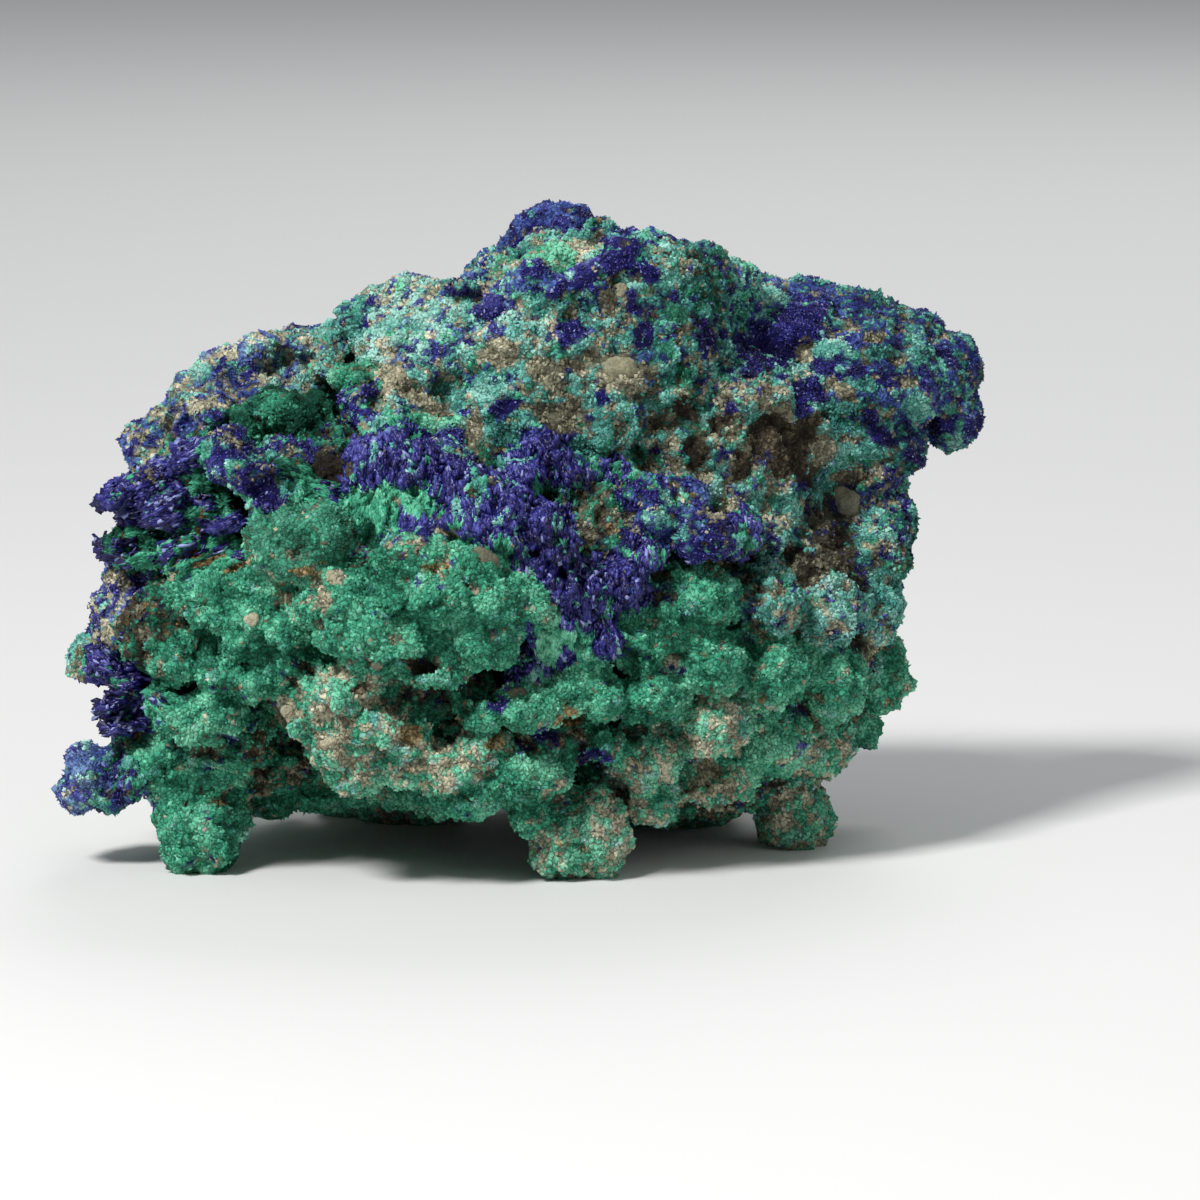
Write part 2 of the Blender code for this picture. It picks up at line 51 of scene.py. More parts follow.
# tones: dark, middle and light display colours. rise: how far its clumps stand above the rock.
minerals = {
    "malachite": {"tones": ((14, 72, 54), (66, 158, 124), (130, 208, 172)), "rise": 0.10},
    "azurite": {"tones": ((15, 11, 64), (28, 25, 103), (74, 76, 154)), "rise": 0.10},
    "aqua": {"tones": ((42, 104, 96), (96, 168, 154), (164, 210, 196)), "rise": 0.15},
    "haze": {"tones": ((30, 36, 92), (64, 84, 148), (120, 148, 188)), "rise": 0.06},
    "tan": {"tones": ((68, 65, 52), (150, 146, 122), (204, 198, 172)), "rise": -0.10},
    "rust": {"tones": ((88, 72, 46), (144, 124, 86), (190, 172, 130)), "rise": -0.04},
    "sage": {"tones": ((34, 96, 74), (76, 152, 124), (126, 194, 164)), "rise": 0.04},
    # umber is dark grey-brown rock, and also painted shade where it fills hollows and the overhang on the
    # right
    "umber": {"tones": ((38, 34, 27), (76, 68, 54), (118, 108, 88)), "rise": -0.20},
}
mineralNames = list(minerals)

# What grows where. lay: upright shapes stand up the slope, along ones follow the lobe, loose ones do
# neither. ribs: depth of the furrows. rough: how strong the crumbly relief is. tone: how much lighter
# or darker than elsewhere, partly the crust's own lightness and partly painted light and shade for
# parts that lie lit or in shadow, such as the dark fan, brown rock and hollow crusts. Then the per
# cent of each mineral.
def crustKind(lay, ribs, rough, tone, **shares):
    return {"lay": lay, "ribs": ribs, "rough": rough, "tone": tone, "shares": shares}


crusts = {
    "blueRidge": crustKind("upright", 0.46, 0.35, 0, azurite=79, malachite=6, aqua=8, haze=5, umber=2),
    "blueLoose": crustKind(
        "loose", 0.05, 0.7, 0, azurite=54, malachite=10, aqua=13, haze=8, tan=11, umber=4
    ),
    "bluePlates": crustKind(
        "along", 0.36, 0.6, -0.06, azurite=62, malachite=16, aqua=5, haze=4, tan=8, rust=2, umber=3
    ),
    "blueGreen": crustKind(
        "upright", 0.3, 0.6, 0, azurite=41, malachite=30, aqua=15, haze=5, tan=6, rust=1, umber=2
    ),
    "blueSpeck": crustKind("loose", 0, 0.5, 0.16, azurite=42, malachite=3, aqua=4, haze=16, tan=35),
    "blueKnob": crustKind("loose", 0, 0.5, -0.02, azurite=50, malachite=1, aqua=3, haze=42, tan=4),
    "velvet": crustKind(
        "loose", 0.04, 1.05, 0.08, malachite=86, azurite=2, aqua=4, tan=5, rust=1, sage=1, umber=1
    ),
    "ledge": crustKind("along", 0.42, 0.45, -0.12, malachite=82, azurite=7, aqua=2, tan=4, rust=3, umber=2),
    "curtain": crustKind("upright", 0.42, 0.4, 0.18, malachite=93, azurite=2, aqua=3, tan=1, rust=1),
    # the fan's low tone is painted shade: the fan lies in shadow
    "fan": crustKind("loose", 0.1, 1.1, -0.54, malachite=88, azurite=2, aqua=1, tan=3, umber=6),
    "sage": crustKind("loose", 0, 0.55, -0.04, sage=76, malachite=13, azurite=1, aqua=3, tan=6, rust=1),
    "powder": crustKind(
        "loose", 0, 0.9, 0.04, aqua=48, malachite=11, azurite=9, haze=4, tan=25, rust=1, umber=2
    ),
    "streaked": crustKind(
        "loose", 0.2, 0.7, -0.14, aqua=38, malachite=17, azurite=18, haze=10, tan=14, rust=1, umber=2
    ),
    "wing": crustKind("loose", 0, 0.5, -0.12, aqua=30, malachite=7, azurite=23, haze=26, tan=13, umber=1),
    "sandy": crustKind("loose", 0, 0.9, 0.32, malachite=44, azurite=1, aqua=10, tan=42, rust=2, umber=1),
    "sand": crustKind(
        "loose", 0, 0.6, 0.06, tan=88, malachite=2, azurite=2, haze=2, aqua=4, rust=1, umber=1
    ),
    "backCrust": crustKind("loose", 0, 0.5, 0.2, tan=46, malachite=3, azurite=16, aqua=13, haze=22),
    "blueBall": crustKind("loose", 0, 0.5, 0.42, azurite=36, malachite=2, aqua=9, haze=50, tan=3),
    "paleCrust": crustKind("loose", 0, 0.9, 0.32, aqua=50, malachite=8, azurite=12, haze=5, tan=25),
    # brown rock under the overhang on the right: its low tone and umber are painted shade as well as brown
    # colour
    "shadedBrownRock": crustKind(
        "loose", 0, 0.8, -0.34, tan=54, umber=24, azurite=10, haze=4, aqua=5, malachite=3
    ),
    "blueDusty": crustKind("loose", 0, 0.7, 0.16, azurite=46, malachite=6, aqua=14, haze=24, tan=10),
    # the hollows between lobes have a low tone: painted shade over their brown rock
    "hollow": crustKind("loose", 0, 1, -0.18, malachite=42, azurite=10, aqua=4, tan=22, rust=4, umber=18),
}
crustNames = list(crusts)

# Single spots of a mineral, as (across, up, half width, half height, turn), placed as the lobes are,
# on whatever skin faces the viewpoint there.
spots = {
    "azurite": [
        (-6.4, 18.5, 0.5, 0.6, 0), (-5.4, 18.4, 0.45, 0.6, 0), (1.2, 16.5, 0.5, 1, 10),
        (5.3, 33.2, 1.3, 0.6, -30), (3.6, 32, 0.8, 0.5, 0), (10.1, 29, 0.6, 1.2, 0),
        (7, 32.4, 0.8, 0.5, 0), (5.9, 30.9, 0.5, 0.7, 0), (6.4, 29.2, 0.6, 0.8, 0),
        (-1.1, 25.1, 0.8, 0.6, 0), (2.2, 26.9, 0.4, 0.4, 0), (4.3, 25.6, 0.4, 0.4, 0),
        (1.3, 23, 1.4, 0.8, 10), (-1.8, 30.3, 0.8, 0.6, 0), (13.3, 28.3, 1.8, 1.3, 0),
        (-1.5, 8.5, 0.7, 0.4, 0), (0.1, 10.5, 0.7, 0.4, 0), (-0.9, 9.9, 0.5, 0.4, 0),
        (2.4, 11.1, 0.5, 0.5, 0), (0.4, 12.4, 0.4, 0.6, 0), (2.5, 13, 0.5, 0.5, 0),
        (4.3, 12.1, 0.6, 0.9, 0), (1.2, 6.7, 0.7, 0.5, 0), (3.9, 5.4, 0.9, 0.5, 0),
        (-16.5, 18.5, 1.1, 0.4, -20), (-17.6, 19.9, 0.6, 0.4, 0), (2.6, 29.1, 0.9, 0.7, 0),
        (14.7, 30, 1, 0.5, 0), (15.9, 29.7, 0.8, 0.5, 0), (16.8, 27.5, 1.1, 0.4, -15),
        (20, 26.5, 0.7, 0.5, 0), (19.1, 24.4, 0.7, 0.4, 0), (19.9, 23.3, 0.7, 0.5, 0),
        (23.3, 27.7, 0.8, 0.4, 35), (22.7, 24.1, 1.1, 0.5, 0), (15.6, 25.8, 1, 0.5, 20),
        (15.3, 24.9, 0.5, 0.5, 0), (13.2, 22.1, 0.4, 0.4, 0), (11.5, 25, 0.4, 0.3, 0),
        (18.3, 27.1, 0.6, 0.4, 0),
    ],
    "tan": [
        (-4, 18.1, 0.7, 0.35, 0), (-10.3, 15.5, 0.5, 0.35, 0), (-2.7, 23.6, 0.4, 1.4, 0),
        (3.4, 33.8, 0.8, 0.4, 0), (4.6, 31, 0.6, 0.5, 0), (5.4, 27, 1.3, 1.1, 0),
        (-1.4, 28.1, 1, 0.8, 0), (1.5, 27.2, 1.2, 0.9, 0), (2.1, 24.6, 1.4, 0.9, 0),
        (13.9, 24.9, 0.4, 0.4, 0), (-10.3, 10.3, 0.7, 0.4, 0), (-10.7, 6.4, 0.9, 0.5, 0),
        (-13, 8.1, 0.7, 0.6, 0), (-20.6, 21.2, 1, 0.5, -25), (-11.1, 14.3, 0.4, 0.9, 10),
        (15.2, 28.3, 0.7, 0.5, 0), (17.6, 25.9, 0.9, 0.5, 30), (16.5, 22.5, 0.6, 0.7, 0),
        (17.9, 29.6, 0.6, 0.4, 0), (19.4, 29, 0.6, 0.4, 0), (20.6, 27.9, 0.6, 0.5, 0),
        (21, 26.4, 0.6, 0.4, 0), (11.6, 23.7, 0.4, 0.5, 0), (18.3, 21.2, 1.3, 0.5, 0),
        (11, 19.3, 0.9, 0.5, 0), (7, 21.8, 0.4, 0.6, 0),
    ],
    "rust": [
        (-5, 16.1, 1, 0.2, -10), (-6.2, 7, 0.6, 0.5, 0), (-1.8, 6.3, 0.5, 0.4, 0),
        (-17, 3, 0.9, 0.2, 0), (-17.4, 16.6, 1.1, 0.22, -22), (-15.9, 16.3, 0.9, 0.22, -22),
        (2.5, 7.8, 0.8, 0.5, 0), (-12, 15.9, 0.9, 0.18, 0),
    ],
    # umber spots: brown rock and painted shade in hollows and under the overhang on the right
    "umber": [
        (14.8, 22.8, 1.5, 1.1, 0), (12.9, 23.1, 1.2, 1.1, 0), (15.6, 23.9, 0.8, 0.7, 0),
        (12.2, 21.6, 0.5, 0.9, 0), (16, 21.6, 0.8, 0.9, 0), (10.9, 24.3, 0.8, 0.4, 0),
        (13.6, 23.9, 1, 0.8, 0), (14.4, 21.9, 1, 0.7, 0), (16.3, 24.2, 0.6, 0.6, 0),
        (-10.3, 21.9, 1, 0.8, 0), (9.1, 25, 0.8, 0.6, 0), (-5.5, 10.6, 0.9, 0.5, 0),
        (-9, 9.4, 0.7, 0.35, 0), (9.7, 22.5, 0.7, 1.1, 0),
    ],
    "malachite": [(1.4, 33.5, 1.1, 0.5, 0)],
    "aqua": [
        (-3.6, 19.5, 0.25, 0.6, 10), (-2.6, 19.3, 0.2, 0.5, 10), (-2.3, 20.6, 0.5, 0.2, 20),
        (-4.6, 20.2, 0.15, 0.5, 0), (-1.3, 18.7, 0.2, 0.4, 20), (16.9, 28.4, 0.8, 0.4, 0),
        (19.6, 28.1, 0.8, 0.4, 0), (13.7, 31, 1.1, 0.4, 10), (21.8, 28.1, 0.7, 0.5, 0),
        (19, 26.2, 0.9, 0.6, 0), (17.1, 23.9, 0.9, 0.5, 0), (18.9, 22.6, 1.1, 0.5, 0),
        (21.4, 25, 0.6, 0.9, 0),
    ],
    "sage": [(8.4, 30.4, 0.8, 0.7, 0)],
}

# Each lobe is (across, up, back, half width, half depth, half height), then its turn where it isn't 0
# and its crust where it isn't its group's usual one, which stands first. Across and up are as seen from
# the viewpoint on an upright sheet through the origin, back is along the line of sight.
lobeGroups = {
    "core": ("hollow", [
        (-9, 14, 2, 11, 9, 8.5), (6, 22, 6, 12, 10, 9, 0, "powder"), (6, 10, 4, 13, 10, 8.5),
        (-13, 21, 6, 7, 6, 5), (-17, 9, 1, 5, 6, 5.5), (2.8, 19.6, -5.2, 3.2, 3.2, 2.6),
        (4.8, 17.4, -6, 2.6, 3, 2), (-9.4, 16, -8.2, 2.6, 3, 2.6), (-13.4, 14.4, -6.6, 2.6, 3, 2.2),
        (-12.4, 10.6, -7, 2.8, 3, 2.2), (1.6, 6.9, -7, 2.8, 3, 2), (-5.4, 9.3, -8, 3.2, 3, 1.8),
        (-4.4, 23.4, -3.2, 4.4, 3.4, 2), (-2.6, 22.4, -5, 2.8, 2.6, 1.3),
        (-3, 21.4, -6.6, 2.8, 2.4, 1.3), (-3.4, 29, 9, 3.4, 4, 2.2), (-16.6, 6.8, -3, 3, 3.4, 2.6),
        (-13.6, 5.2, -1.6, 2.6, 3.4, 1.7), (10.6, 24.6, 1.5, 2.6, 3.8, 2.2, 0, "shadedBrownRock"),
        (-19.8, 12.6, -4.2, 2.6, 3.2, 2.6), (6.8, 13.6, -5.6, 3.4, 3.4, 3),
        (15, 13.6, 5, 5.2, 8, 7.4, 0, "shadedBrownRock"), (17, 22.4, 9, 4.4, 4.6, 4, 0, "shadedBrownRock"),
        (-18.4, 15, 2.6, 4.6, 6, 6), (-16.4, 21.6, 1.4, 4.6, 5, 2.4), (-11, 22.6, 1, 4, 4.4, 2.2),
        (0, 15, 10, 15, 7, 9.5), (-10, 9, 6, 9, 8, 4.6),
    ]),
    "crown": ("blueDusty", [
        (1.8, 34.3, 9, 2.6, 3.2, 2.2, 0, "blueKnob"), (0.4, 33.2, 8, 2, 3, 2.2, 20, "blueKnob"),
        (1.8, 33, 4.6, 2.8, 4, 1.9, 0, "powder"), (-1.4, 32.2, 6, 1.7, 2.6, 1.9, 30, "wing"),
        (2, 33.2, 1.5, 2.7, 2.4, 0.9, -8, "sandy"), (1.6, 32, 3, 4, 3.5, 2, 0, "powder"),
        (4.3, 34.5, 4, 1.1, 1.8, 1.2, 0, "powder"), (5.6, 33.9, 2.5, 1.6, 1.8, 1, 8),
        (5.1, 32.9, -0.5, 1.9, 1.5, 0.9, -35, "blueLoose"), (0.4, 32, -1.5, 1.1, 1.3, 0.9),
        (2, 31.6, -2, 1.3, 1.3, 0.9), (3.7, 31.9, -2, 1.3, 1.3, 1),
        (1.8, 30.6, -2.6, 1.3, 1.4, 0.9, 0, "powder"), (-0.6, 31.3, -1.5, 1.1, 1.3, 0.8),
        (-1.6, 30.5, -3, 1.1, 1.2, 0.8, -30), (-3.5, 31.6, 0, 1.1, 1.4, 0.7, 0, "blueLoose"),
        (7.6, 32.9, 1, 2.5, 3, 1.8, 10, "powder"), (9.6, 32.4, 3, 2.1, 3.2, 1.8, 20, "streaked"),
        (11.2, 31.2, 6, 1.8, 3.2, 1.7, 30, "streaked"),
    ]),
    "boulder": ("powder", [
        (1, 26.4, 2, 7, 8, 5.6), (-3, 28.2, 2, 4.2, 6, 3.4, 0, "paleCrust"),
        (-6.4, 28.6, 2, 2.8, 4.6, 2.6, 0, "paleCrust"), (-8.4, 29.6, 4, 1.8, 3.6, 1.8),
        (-6.2, 30.6, 4, 2.4, 3.6, 1.5, 0, "paleCrust"), (-4.6, 30.4, 2, 2, 3, 1.5, 0, "paleCrust"),
        (-1.8, 24.8, -3, 2.2, 3.2, 2.4), (1.4, 23.6, -3, 2.8, 3.4, 2.2),
        (4.4, 24.4, -2.5, 2.6, 3.6, 2.4), (3.2, 28.4, -1.5, 2.6, 3.4, 2.2),
        (0, 28.6, -2.5, 2.4, 3.2, 2, 0, "paleCrust"), (7.6, 28.8, 2, 3.6, 6.4, 4.4, 0, "streaked"),
        (9.6, 28.8, 4, 2.2, 5.6, 3.8, 0, "streaked"), (6, 30.2, 0, 1.3, 3, 2.2),
        (5.6, 27, -3, 1.9, 2.8, 1.5, 0, "sand"), (8.2, 26, 0, 2.1, 4, 1.6), (6.8, 23.4, 0, 2.4, 4, 1.9),
    ]),
    "rightWing": ("wing", [
        (13, 30.3, 11, 2.4, 4, 1.9, 10), (15.6, 30, 12, 3, 4.8, 2.1), (18.4, 29.4, 12, 3, 4.8, 2.3, 10),
        (20.8, 28, 12, 2.8, 4.6, 2.6, 25), (22.6, 26.4, 12, 2.4, 4.2, 2.9, 35),
        (23.4, 24.9, 12, 1.8, 3.6, 2.2), (13.6, 28.4, 7, 2, 2.8, 1.8, 0, "blueLoose"),
        (15.4, 29.2, 7, 1.9, 2.4, 1.2, 0, "blueLoose"), (16.7, 27.8, 6, 1.8, 2, 1, -10, "powder"),
        (18.4, 28.6, 7, 2, 2.4, 1.4), (18.4, 25.8, 6, 2.7, 3.6, 2.6), (20.6, 26.2, 8, 2.2, 3.6, 2.8),
        (18.2, 23.4, 6, 2.6, 3, 1.7, 0, "powder"), (20.4, 22.9, 7, 2, 3, 1.7, 20),
        (19.2, 21.4, 6, 1.7, 2.6, 1.3, 0, "blueLoose"),
    ]),
    "rightFlank": ("powder", [
        (12, 26, 1, 2.5, 3.4, 1.5, 22), (14, 25.4, 0, 0.8, 1.2, 0.8),
        (12.4, 23.6, 4, 1.8, 3, 1.6, 0, "shadedBrownRock"), (11, 22.4, 1, 1.3, 2.6, 1.9, 15),
        (8.4, 21.8, -1, 1.4, 2.4, 1.3), (10.4, 20.2, 0, 1.5, 2.6, 1.3), (14.2, 20.6, 2, 1.8, 3.4, 1.9),
        (13.2, 18.4, 1, 2.2, 3.4, 1.9), (15.6, 18.6, 3, 1.2, 2.8, 1.7, 0, "shadedBrownRock"),
        (17.6, 19.6, 6, 1.8, 2.6, 1.5, 0, "shadedBrownRock"), (20, 18.8, 6, 1.8, 3.4, 1.4, 15, "streaked"),
        (18.8, 17, 5, 2.8, 4, 2.2),
    ]),
    "azuriteRight": ("blueGreen", [
        (5.2, 21, -5, 1.5, 1.8, 0.9, 15), (6.7, 20.2, -6, 1.7, 2, 1, 20, "blueLoose"),
        (8.8, 20.1, -5, 1.6, 1.8, 0.9, 10, "blueLoose"), (7.4, 18.6, -7, 1.3, 2, 1.1, 0, "blueLoose"),
        (9.8, 17.9, -7, 1.9, 2.4, 1.3, 10, "blueLoose"), (12, 18, -5, 1.1, 2.2, 1.5, 15),
        (6.4, 17, -7.5, 1.5, 2.2, 0.8), (5.4, 15.2, -9.5, 1.5, 2.2, 1.3, 25, "blueRidge"),
        (3.6, 14.8, -9.5, 1.3, 2, 1.6, 10, "blueRidge"), (4.4, 12.9, -9, 1.4, 2.2, 1.6),
    ]),
    "azuriteRidge": ("blueRidge", [
        (-8.7, 21.7, -8, 1.2, 1.9, 1.5), (-7.2, 21.9, -8.5, 1.3, 2, 1.6),
        (-5.6, 21.7, -9, 1.3, 2, 1.5, 10), (-4, 20.9, -9.5, 1.5, 2.2, 1.4, 20),
        (-2.3, 20.1, -10, 1.5, 2.2, 1.4, 20, "blueGreen"), (-0.6, 19.3, -10.5, 1.5, 2.2, 1.4, 20),
        (0.9, 18.5, -10.5, 1.3, 2, 1.4, 35), (1.9, 17.3, -10.5, 1.2, 2, 1.3, 50),
        (-3.2, 18.8, -11, 1.6, 1.8, 0.9, 10, "blueGreen"),
        (-1.2, 17.8, -11.6, 1.3, 1.6, 0.8, 0, "blueGreen"), (1.3, 22.2, -6.5, 1.5, 2, 1.2, 10),
        (2.5, 21.4, -7, 1.2, 1.8, 1.2, 0, "blueGreen"), (-1.7, 22.2, -5.5, 1, 1.4, 0.6, 0, "blueLoose"),
        (1.3, 15.4, -10.5, 0.9, 1.6, 1.5, 10), (2.4, 15.2, -10.5, 0.9, 1.6, 1.5, 10),
    ]),
    "curtain": ("curtain", [
        (-8.9, 19.2, -8.5, 0.9, 1.8, 1.6), (-7.4, 19, -9.2, 1.1, 1.9, 1.7),
        (-6, 18.7, -10, 1.1, 1.9, 1.5),
    ]),
    "malachiteLobes": ("velvet", [
        (-13.1, 18, -8.5, 2.2, 3.4, 2, 0, "sage"), (-11, 18, -9.2, 1.9, 3.2, 1.8, 0, "sage"),
        (-14.4, 16.8, -8.2, 1.1, 2.4, 1.3), (-12.5, 16.3, -9.5, 1.8, 2.8, 0.9, 0, "sage"),
        (-5.8, 16.9, -11, 2.2, 3.2, 1.6), (-3.2, 16.2, -11.6, 2, 3, 1.3),
        (-4.6, 14.6, -12.6, 2.4, 3.2, 1.3, -10), (-1.8, 13.7, -12.2, 2.4, 3.2, 2.4),
        (-2.2, 12.1, -12.4, 2, 2.8, 1.4, 10), (0.3, 14, -11, 1.3, 2.8, 2),
        (1.8, 12.6, -9.8, 1.6, 2.6, 1.6, 0, "curtain"), (3.2, 11.6, -9.2, 1.5, 2.4, 1.3),
        (-10.4, 14.2, -11.2, 2.2, 3.2, 1.2, -15), (-9, 12.8, -11.8, 2.4, 3.2, 1.4, -20),
        (-7.4, 11.5, -12, 2.2, 3, 1.1, -15), (-10.7, 15.5, -10.6, 0.9, 1.8, 0.7),
        (-5.9, 12.6, -11, 1.4, 2.4, 1.3), (-5.2, 10.2, -11.4, 2, 2.6, 0.8),
    ]),
    "fills": ("blueGreen", [
        (-0.4, 16.4, -10.4, 1.5, 1.8, 1.2), (-7.6, 14.8, -10.8, 1.4, 2, 1.2, 0, "velvet"),
        (-4.2, 11.2, -10.4, 1.4, 2, 1, 0, "velvet"), (0.4, 10.5, -8.8, 1.4, 2, 1.2),
        (-15.8, 16.4, -6, 1.2, 1.8, 1, 0, "ledge"), (-18, 12.3, -5.4, 1.3, 1.8, 1, 0, "velvet"),
        (4.6, 30.9, -0.6, 1.3, 1.6, 1.2, 0, "sand"), (-0.2, 21, -7.4, 1.5, 1.8, 1.2),
        (-10.4, 21.8, -5.2, 1.5, 1.8, 1.3, 0, "shadedBrownRock"),
    ]),
    "leftLobes": ("velvet", [
        (-18.4, 14.8, -6.5, 1.4, 2.6, 1.1, 10), (-16.6, 14.9, -7.2, 1.8, 2.8, 1.2),
        (-17, 13.3, -7.8, 1.6, 2.6, 0.9, 15), (-14.9, 13.6, -8, 1.4, 2.6, 1.2),
        (-13.1, 12.6, -9, 1.4, 2.4, 1.1), (-15.6, 12, -8.4, 1.6, 2.2, 0.8),
        (-18.9, 11, -6.6, 1.2, 2.4, 1.3, 40), (-16.6, 10.4, -7.6, 1.5, 2.4, 1.1, -15),
        (-14.6, 9.9, -8.2, 1.5, 2.4, 1, -20), (-19.9, 8.7, -6, 1.2, 2.2, 1, 35, "ledge"),
        (-18.6, 7.6, -6.6, 1.9, 2.4, 1.2, 10), (-16.7, 8.3, -6.8, 1.6, 2.4, 1.1, 25),
        (-19.6, 4.9, -2.6, 1.8, 3, 1.7), (-17.2, 5.1, -3, 1.8, 3.2, 1.6, 20),
        (-15, 6, -0.5, 1.8, 3.2, 1.7), (-13.2, 5, 2, 2, 3.4, 1.8),
        (-21.6, 4.6, -3, 1.5, 2.4, 1.3, 30, "blueGreen"), (-24, 5, -2.6, 1.5, 2.4, 1.2, 20, "blueBall"),
        (-24.4, 3.8, -2.6, 1.2, 2.2, 1.4, 0, "blueBall"),
        (-23, 3.5, -2.8, 1.3, 2.2, 1.1, 0, "blueLoose"),
    ]),
    "feet": ("velvet", [
        (-18.9, 1.5, -4.2, 1.6, 2.6, 2.7, -10), (-17.3, 1.4, -4, 1.7, 2.8, 2.6),
        (-16.2, 2.4, -2.4, 1.3, 2.8, 1.9), (2, 1, -6.2, 1.8, 2.9, 2.9, 0, "sandy"),
        (3.8, 1.3, -6, 1.8, 2.9, 2.9, 0, "sandy"), (0.5, 2.5, -7, 1.4, 2.6, 1.3, 30),
        (15, 2.2, 4, 2.2, 3.2, 2.6, 0, "sandy"),
    ]),
    "frontBulge": ("velvet", [
        (-11.6, 8.2, -9.6, 1.8, 3.2, 1.4, -40, "sandy"),
        (-9.8, 9.5, -10.8, 2.2, 3.2, 1.3, -20, "sandy"),
        (-10.4, 6.4, -9.6, 1.8, 3.2, 1.7, -30, "sandy"), (-8.6, 7.2, -10.8, 2.2, 3.4, 1.6, 0, "sandy"),
        (-9, 4.9, -9, 2, 3.2, 1.4, -20, "sandy"), (-6.5, 5.7, -9.8, 2, 3.4, 1.8, 0, "sandy"),
        (-6, 7.6, -8.8, 1.5, 2.8, 1), (-4.5, 5.1, -9.4, 1.7, 3.2, 1.7, 0, "sandy"),
        (-2.6, 5.9, -9, 1.7, 3, 1.4, 0, "sandy"), (-3.2, 3.6, -8.6, 1.9, 3.2, 1.3),
        (-0.9, 4.6, -8.8, 1.6, 2.8, 1.4), (1.1, 4.6, -8.4, 1.5, 2.6, 1.4, -25),
        (-2.5, 8.1, -10, 1.3, 2.6, 1.1), (0.3, 8.5, -10.4, 1.9, 2.8, 1.3),
        (2.7, 9.2, -9.8, 1.5, 2.6, 1.1), (4.3, 8.9, -9.4, 1.1, 2.4, 1.4),
        (4.7, 6.2, -8.2, 1.1, 2.4, 1.2, -15),
    ]),
    "rearArch": ("velvet", [
        (-14.2, 3.3, 3, 1.8, 3.4, 1.2), (-11.8, 3.7, 3, 1.8, 3.4, 1.1), (-9.4, 4, 3, 1.8, 3.4, 1.2),
        (-7, 4.1, 2, 1.8, 3.4, 1.2), (-4.6, 3.9, 0, 1.8, 3.4, 1.3),
    ]),
    "leftEdge": ("bluePlates", [
        (-22.2, 20, -3.6, 1.5, 2.2, 0.9, -20), (-20.9, 20.9, -3.4, 1.5, 2.2, 0.7, -25),
        (-19.8, 20.1, -4.4, 1.4, 1.8, 0.7, -25), (-19.4, 19, -4.6, 1.3, 1.8, 0.6, -20),
        (-21.4, 18.3, -3, 1.7, 2.2, 0.6, -10, "ledge"), (-22.5, 17.4, -2.6, 1.2, 2, 0.7),
        (-20.9, 17, -3.4, 1.5, 2, 0.7, -25, "ledge"),
        (-22.2, 15.8, -0.8, 1.2, 2.6, 1, -20, "blueSpeck"),
        (-21.2, 14.4, -1, 1.8, 2.8, 1.1, 0, "blueSpeck"), (-22.9, 14, 0, 1, 2.4, 0.9, 0, "blueSpeck"),
        (-22.6, 12.6, -0.6, 1.5, 2.8, 1, 20, "blueSpeck"),
        (-24.1, 11.2, -0.4, 1, 2.2, 1.3, 0, "powder"), (-22.9, 10.8, -1.4, 1.3, 2.6, 1.1, 30),
        (-22, 9.5, -2.2, 1.1, 2.4, 1), (-22.6, 8.6, -2.6, 1, 2.2, 0.5, -25),
        (-22.1, 7.4, -2.8, 1.3, 2.2, 0.6, -8), (-22, 6.5, -2.4, 0.9, 2.2, 0.8, 0, "hollow"),
    ]),
    "upperLeft": ("ledge", [
        (-18.2, 22.4, -4.4, 1.1, 1.8, 0.6, -20, "bluePlates"),
        (-17.1, 24.4, -2, 0.8, 1.4, 0.5, 0, "blueLoose"),
        (-16.2, 23, -5.4, 1.3, 2.2, 1, -30, "blueLoose"),
        (-16.5, 21.9, -6, 0.9, 2, 1.1, 0, "blueLoose"),
        (-15.3, 21.2, -6.8, 1.1, 2.2, 1.4, 0, "blueLoose"),
        (-14, 21.6, -6.4, 1.6, 2.2, 1.1, 10, "blueLoose"),
        (-12.8, 22.6, -4.6, 1.6, 2, 0.5, 20, "blueLoose"), (-12, 21.3, -6.4, 2, 2.2, 0.9, 25),
        (-10.8, 20.4, -7.2, 1.2, 2, 0.8, 20), (-12.9, 20.3, -8, 0.9, 1.6, 0.5, 0, "blueGreen"),
        (-14.3, 19.8, -7.6, 1.2, 1.6, 0.5, -15, "blueGreen"), (-17.6, 20.8, -3.4, 1.2, 2.4, 1.1),
        (-17.4, 19.4, -4.6, 1.6, 2.2, 0.6, -22), (-16.4, 18.6, -5.8, 1.1, 1.6, 0.4, -22, "bluePlates"),
        (-18.8, 17.5, -4.4, 1.6, 2.4, 0.6, -22), (-17, 17, -5, 1.6, 2.2, 0.6, -22),
        (-18.6, 16.4, -5, 1.3, 2.2, 0.5, -22),
    ]),
    "backRidge": ("backCrust", [
        (-21.1, 23.1, 3.6, 1.2, 2.8, 1.2), (-20.2, 22.1, 3, 1.5, 2.8, 1.5),
        (-19.6, 24.2, 5, 1.4, 3, 1.2), (-18.4, 25.7, 6.4, 1.3, 3, 1.3, -30),
        (-16.6, 27.1, 7.6, 1.6, 3.2, 1.1, -25), (-14.4, 28.3, 8.6, 1.7, 3.2, 1, -15),
        (-11.9, 28.7, 9, 1.8, 3.2, 1), (-9.6, 29, 7.6, 1.6, 3.2, 1.1, -10, "powder"),
        (-17.2, 25, 4.4, 1.6, 2.8, 1), (-15, 25.9, 6.4, 1.8, 2.8, 1), (-12.8, 26.6, 8.6, 2, 2.4, 1.2),
        (-10.4, 27.2, 5.4, 1.3, 2.8, 1.4, 20, "powder"), (-13.8, 24.9, 0.4, 1.2, 2.2, 1.1, 0, "fan"),
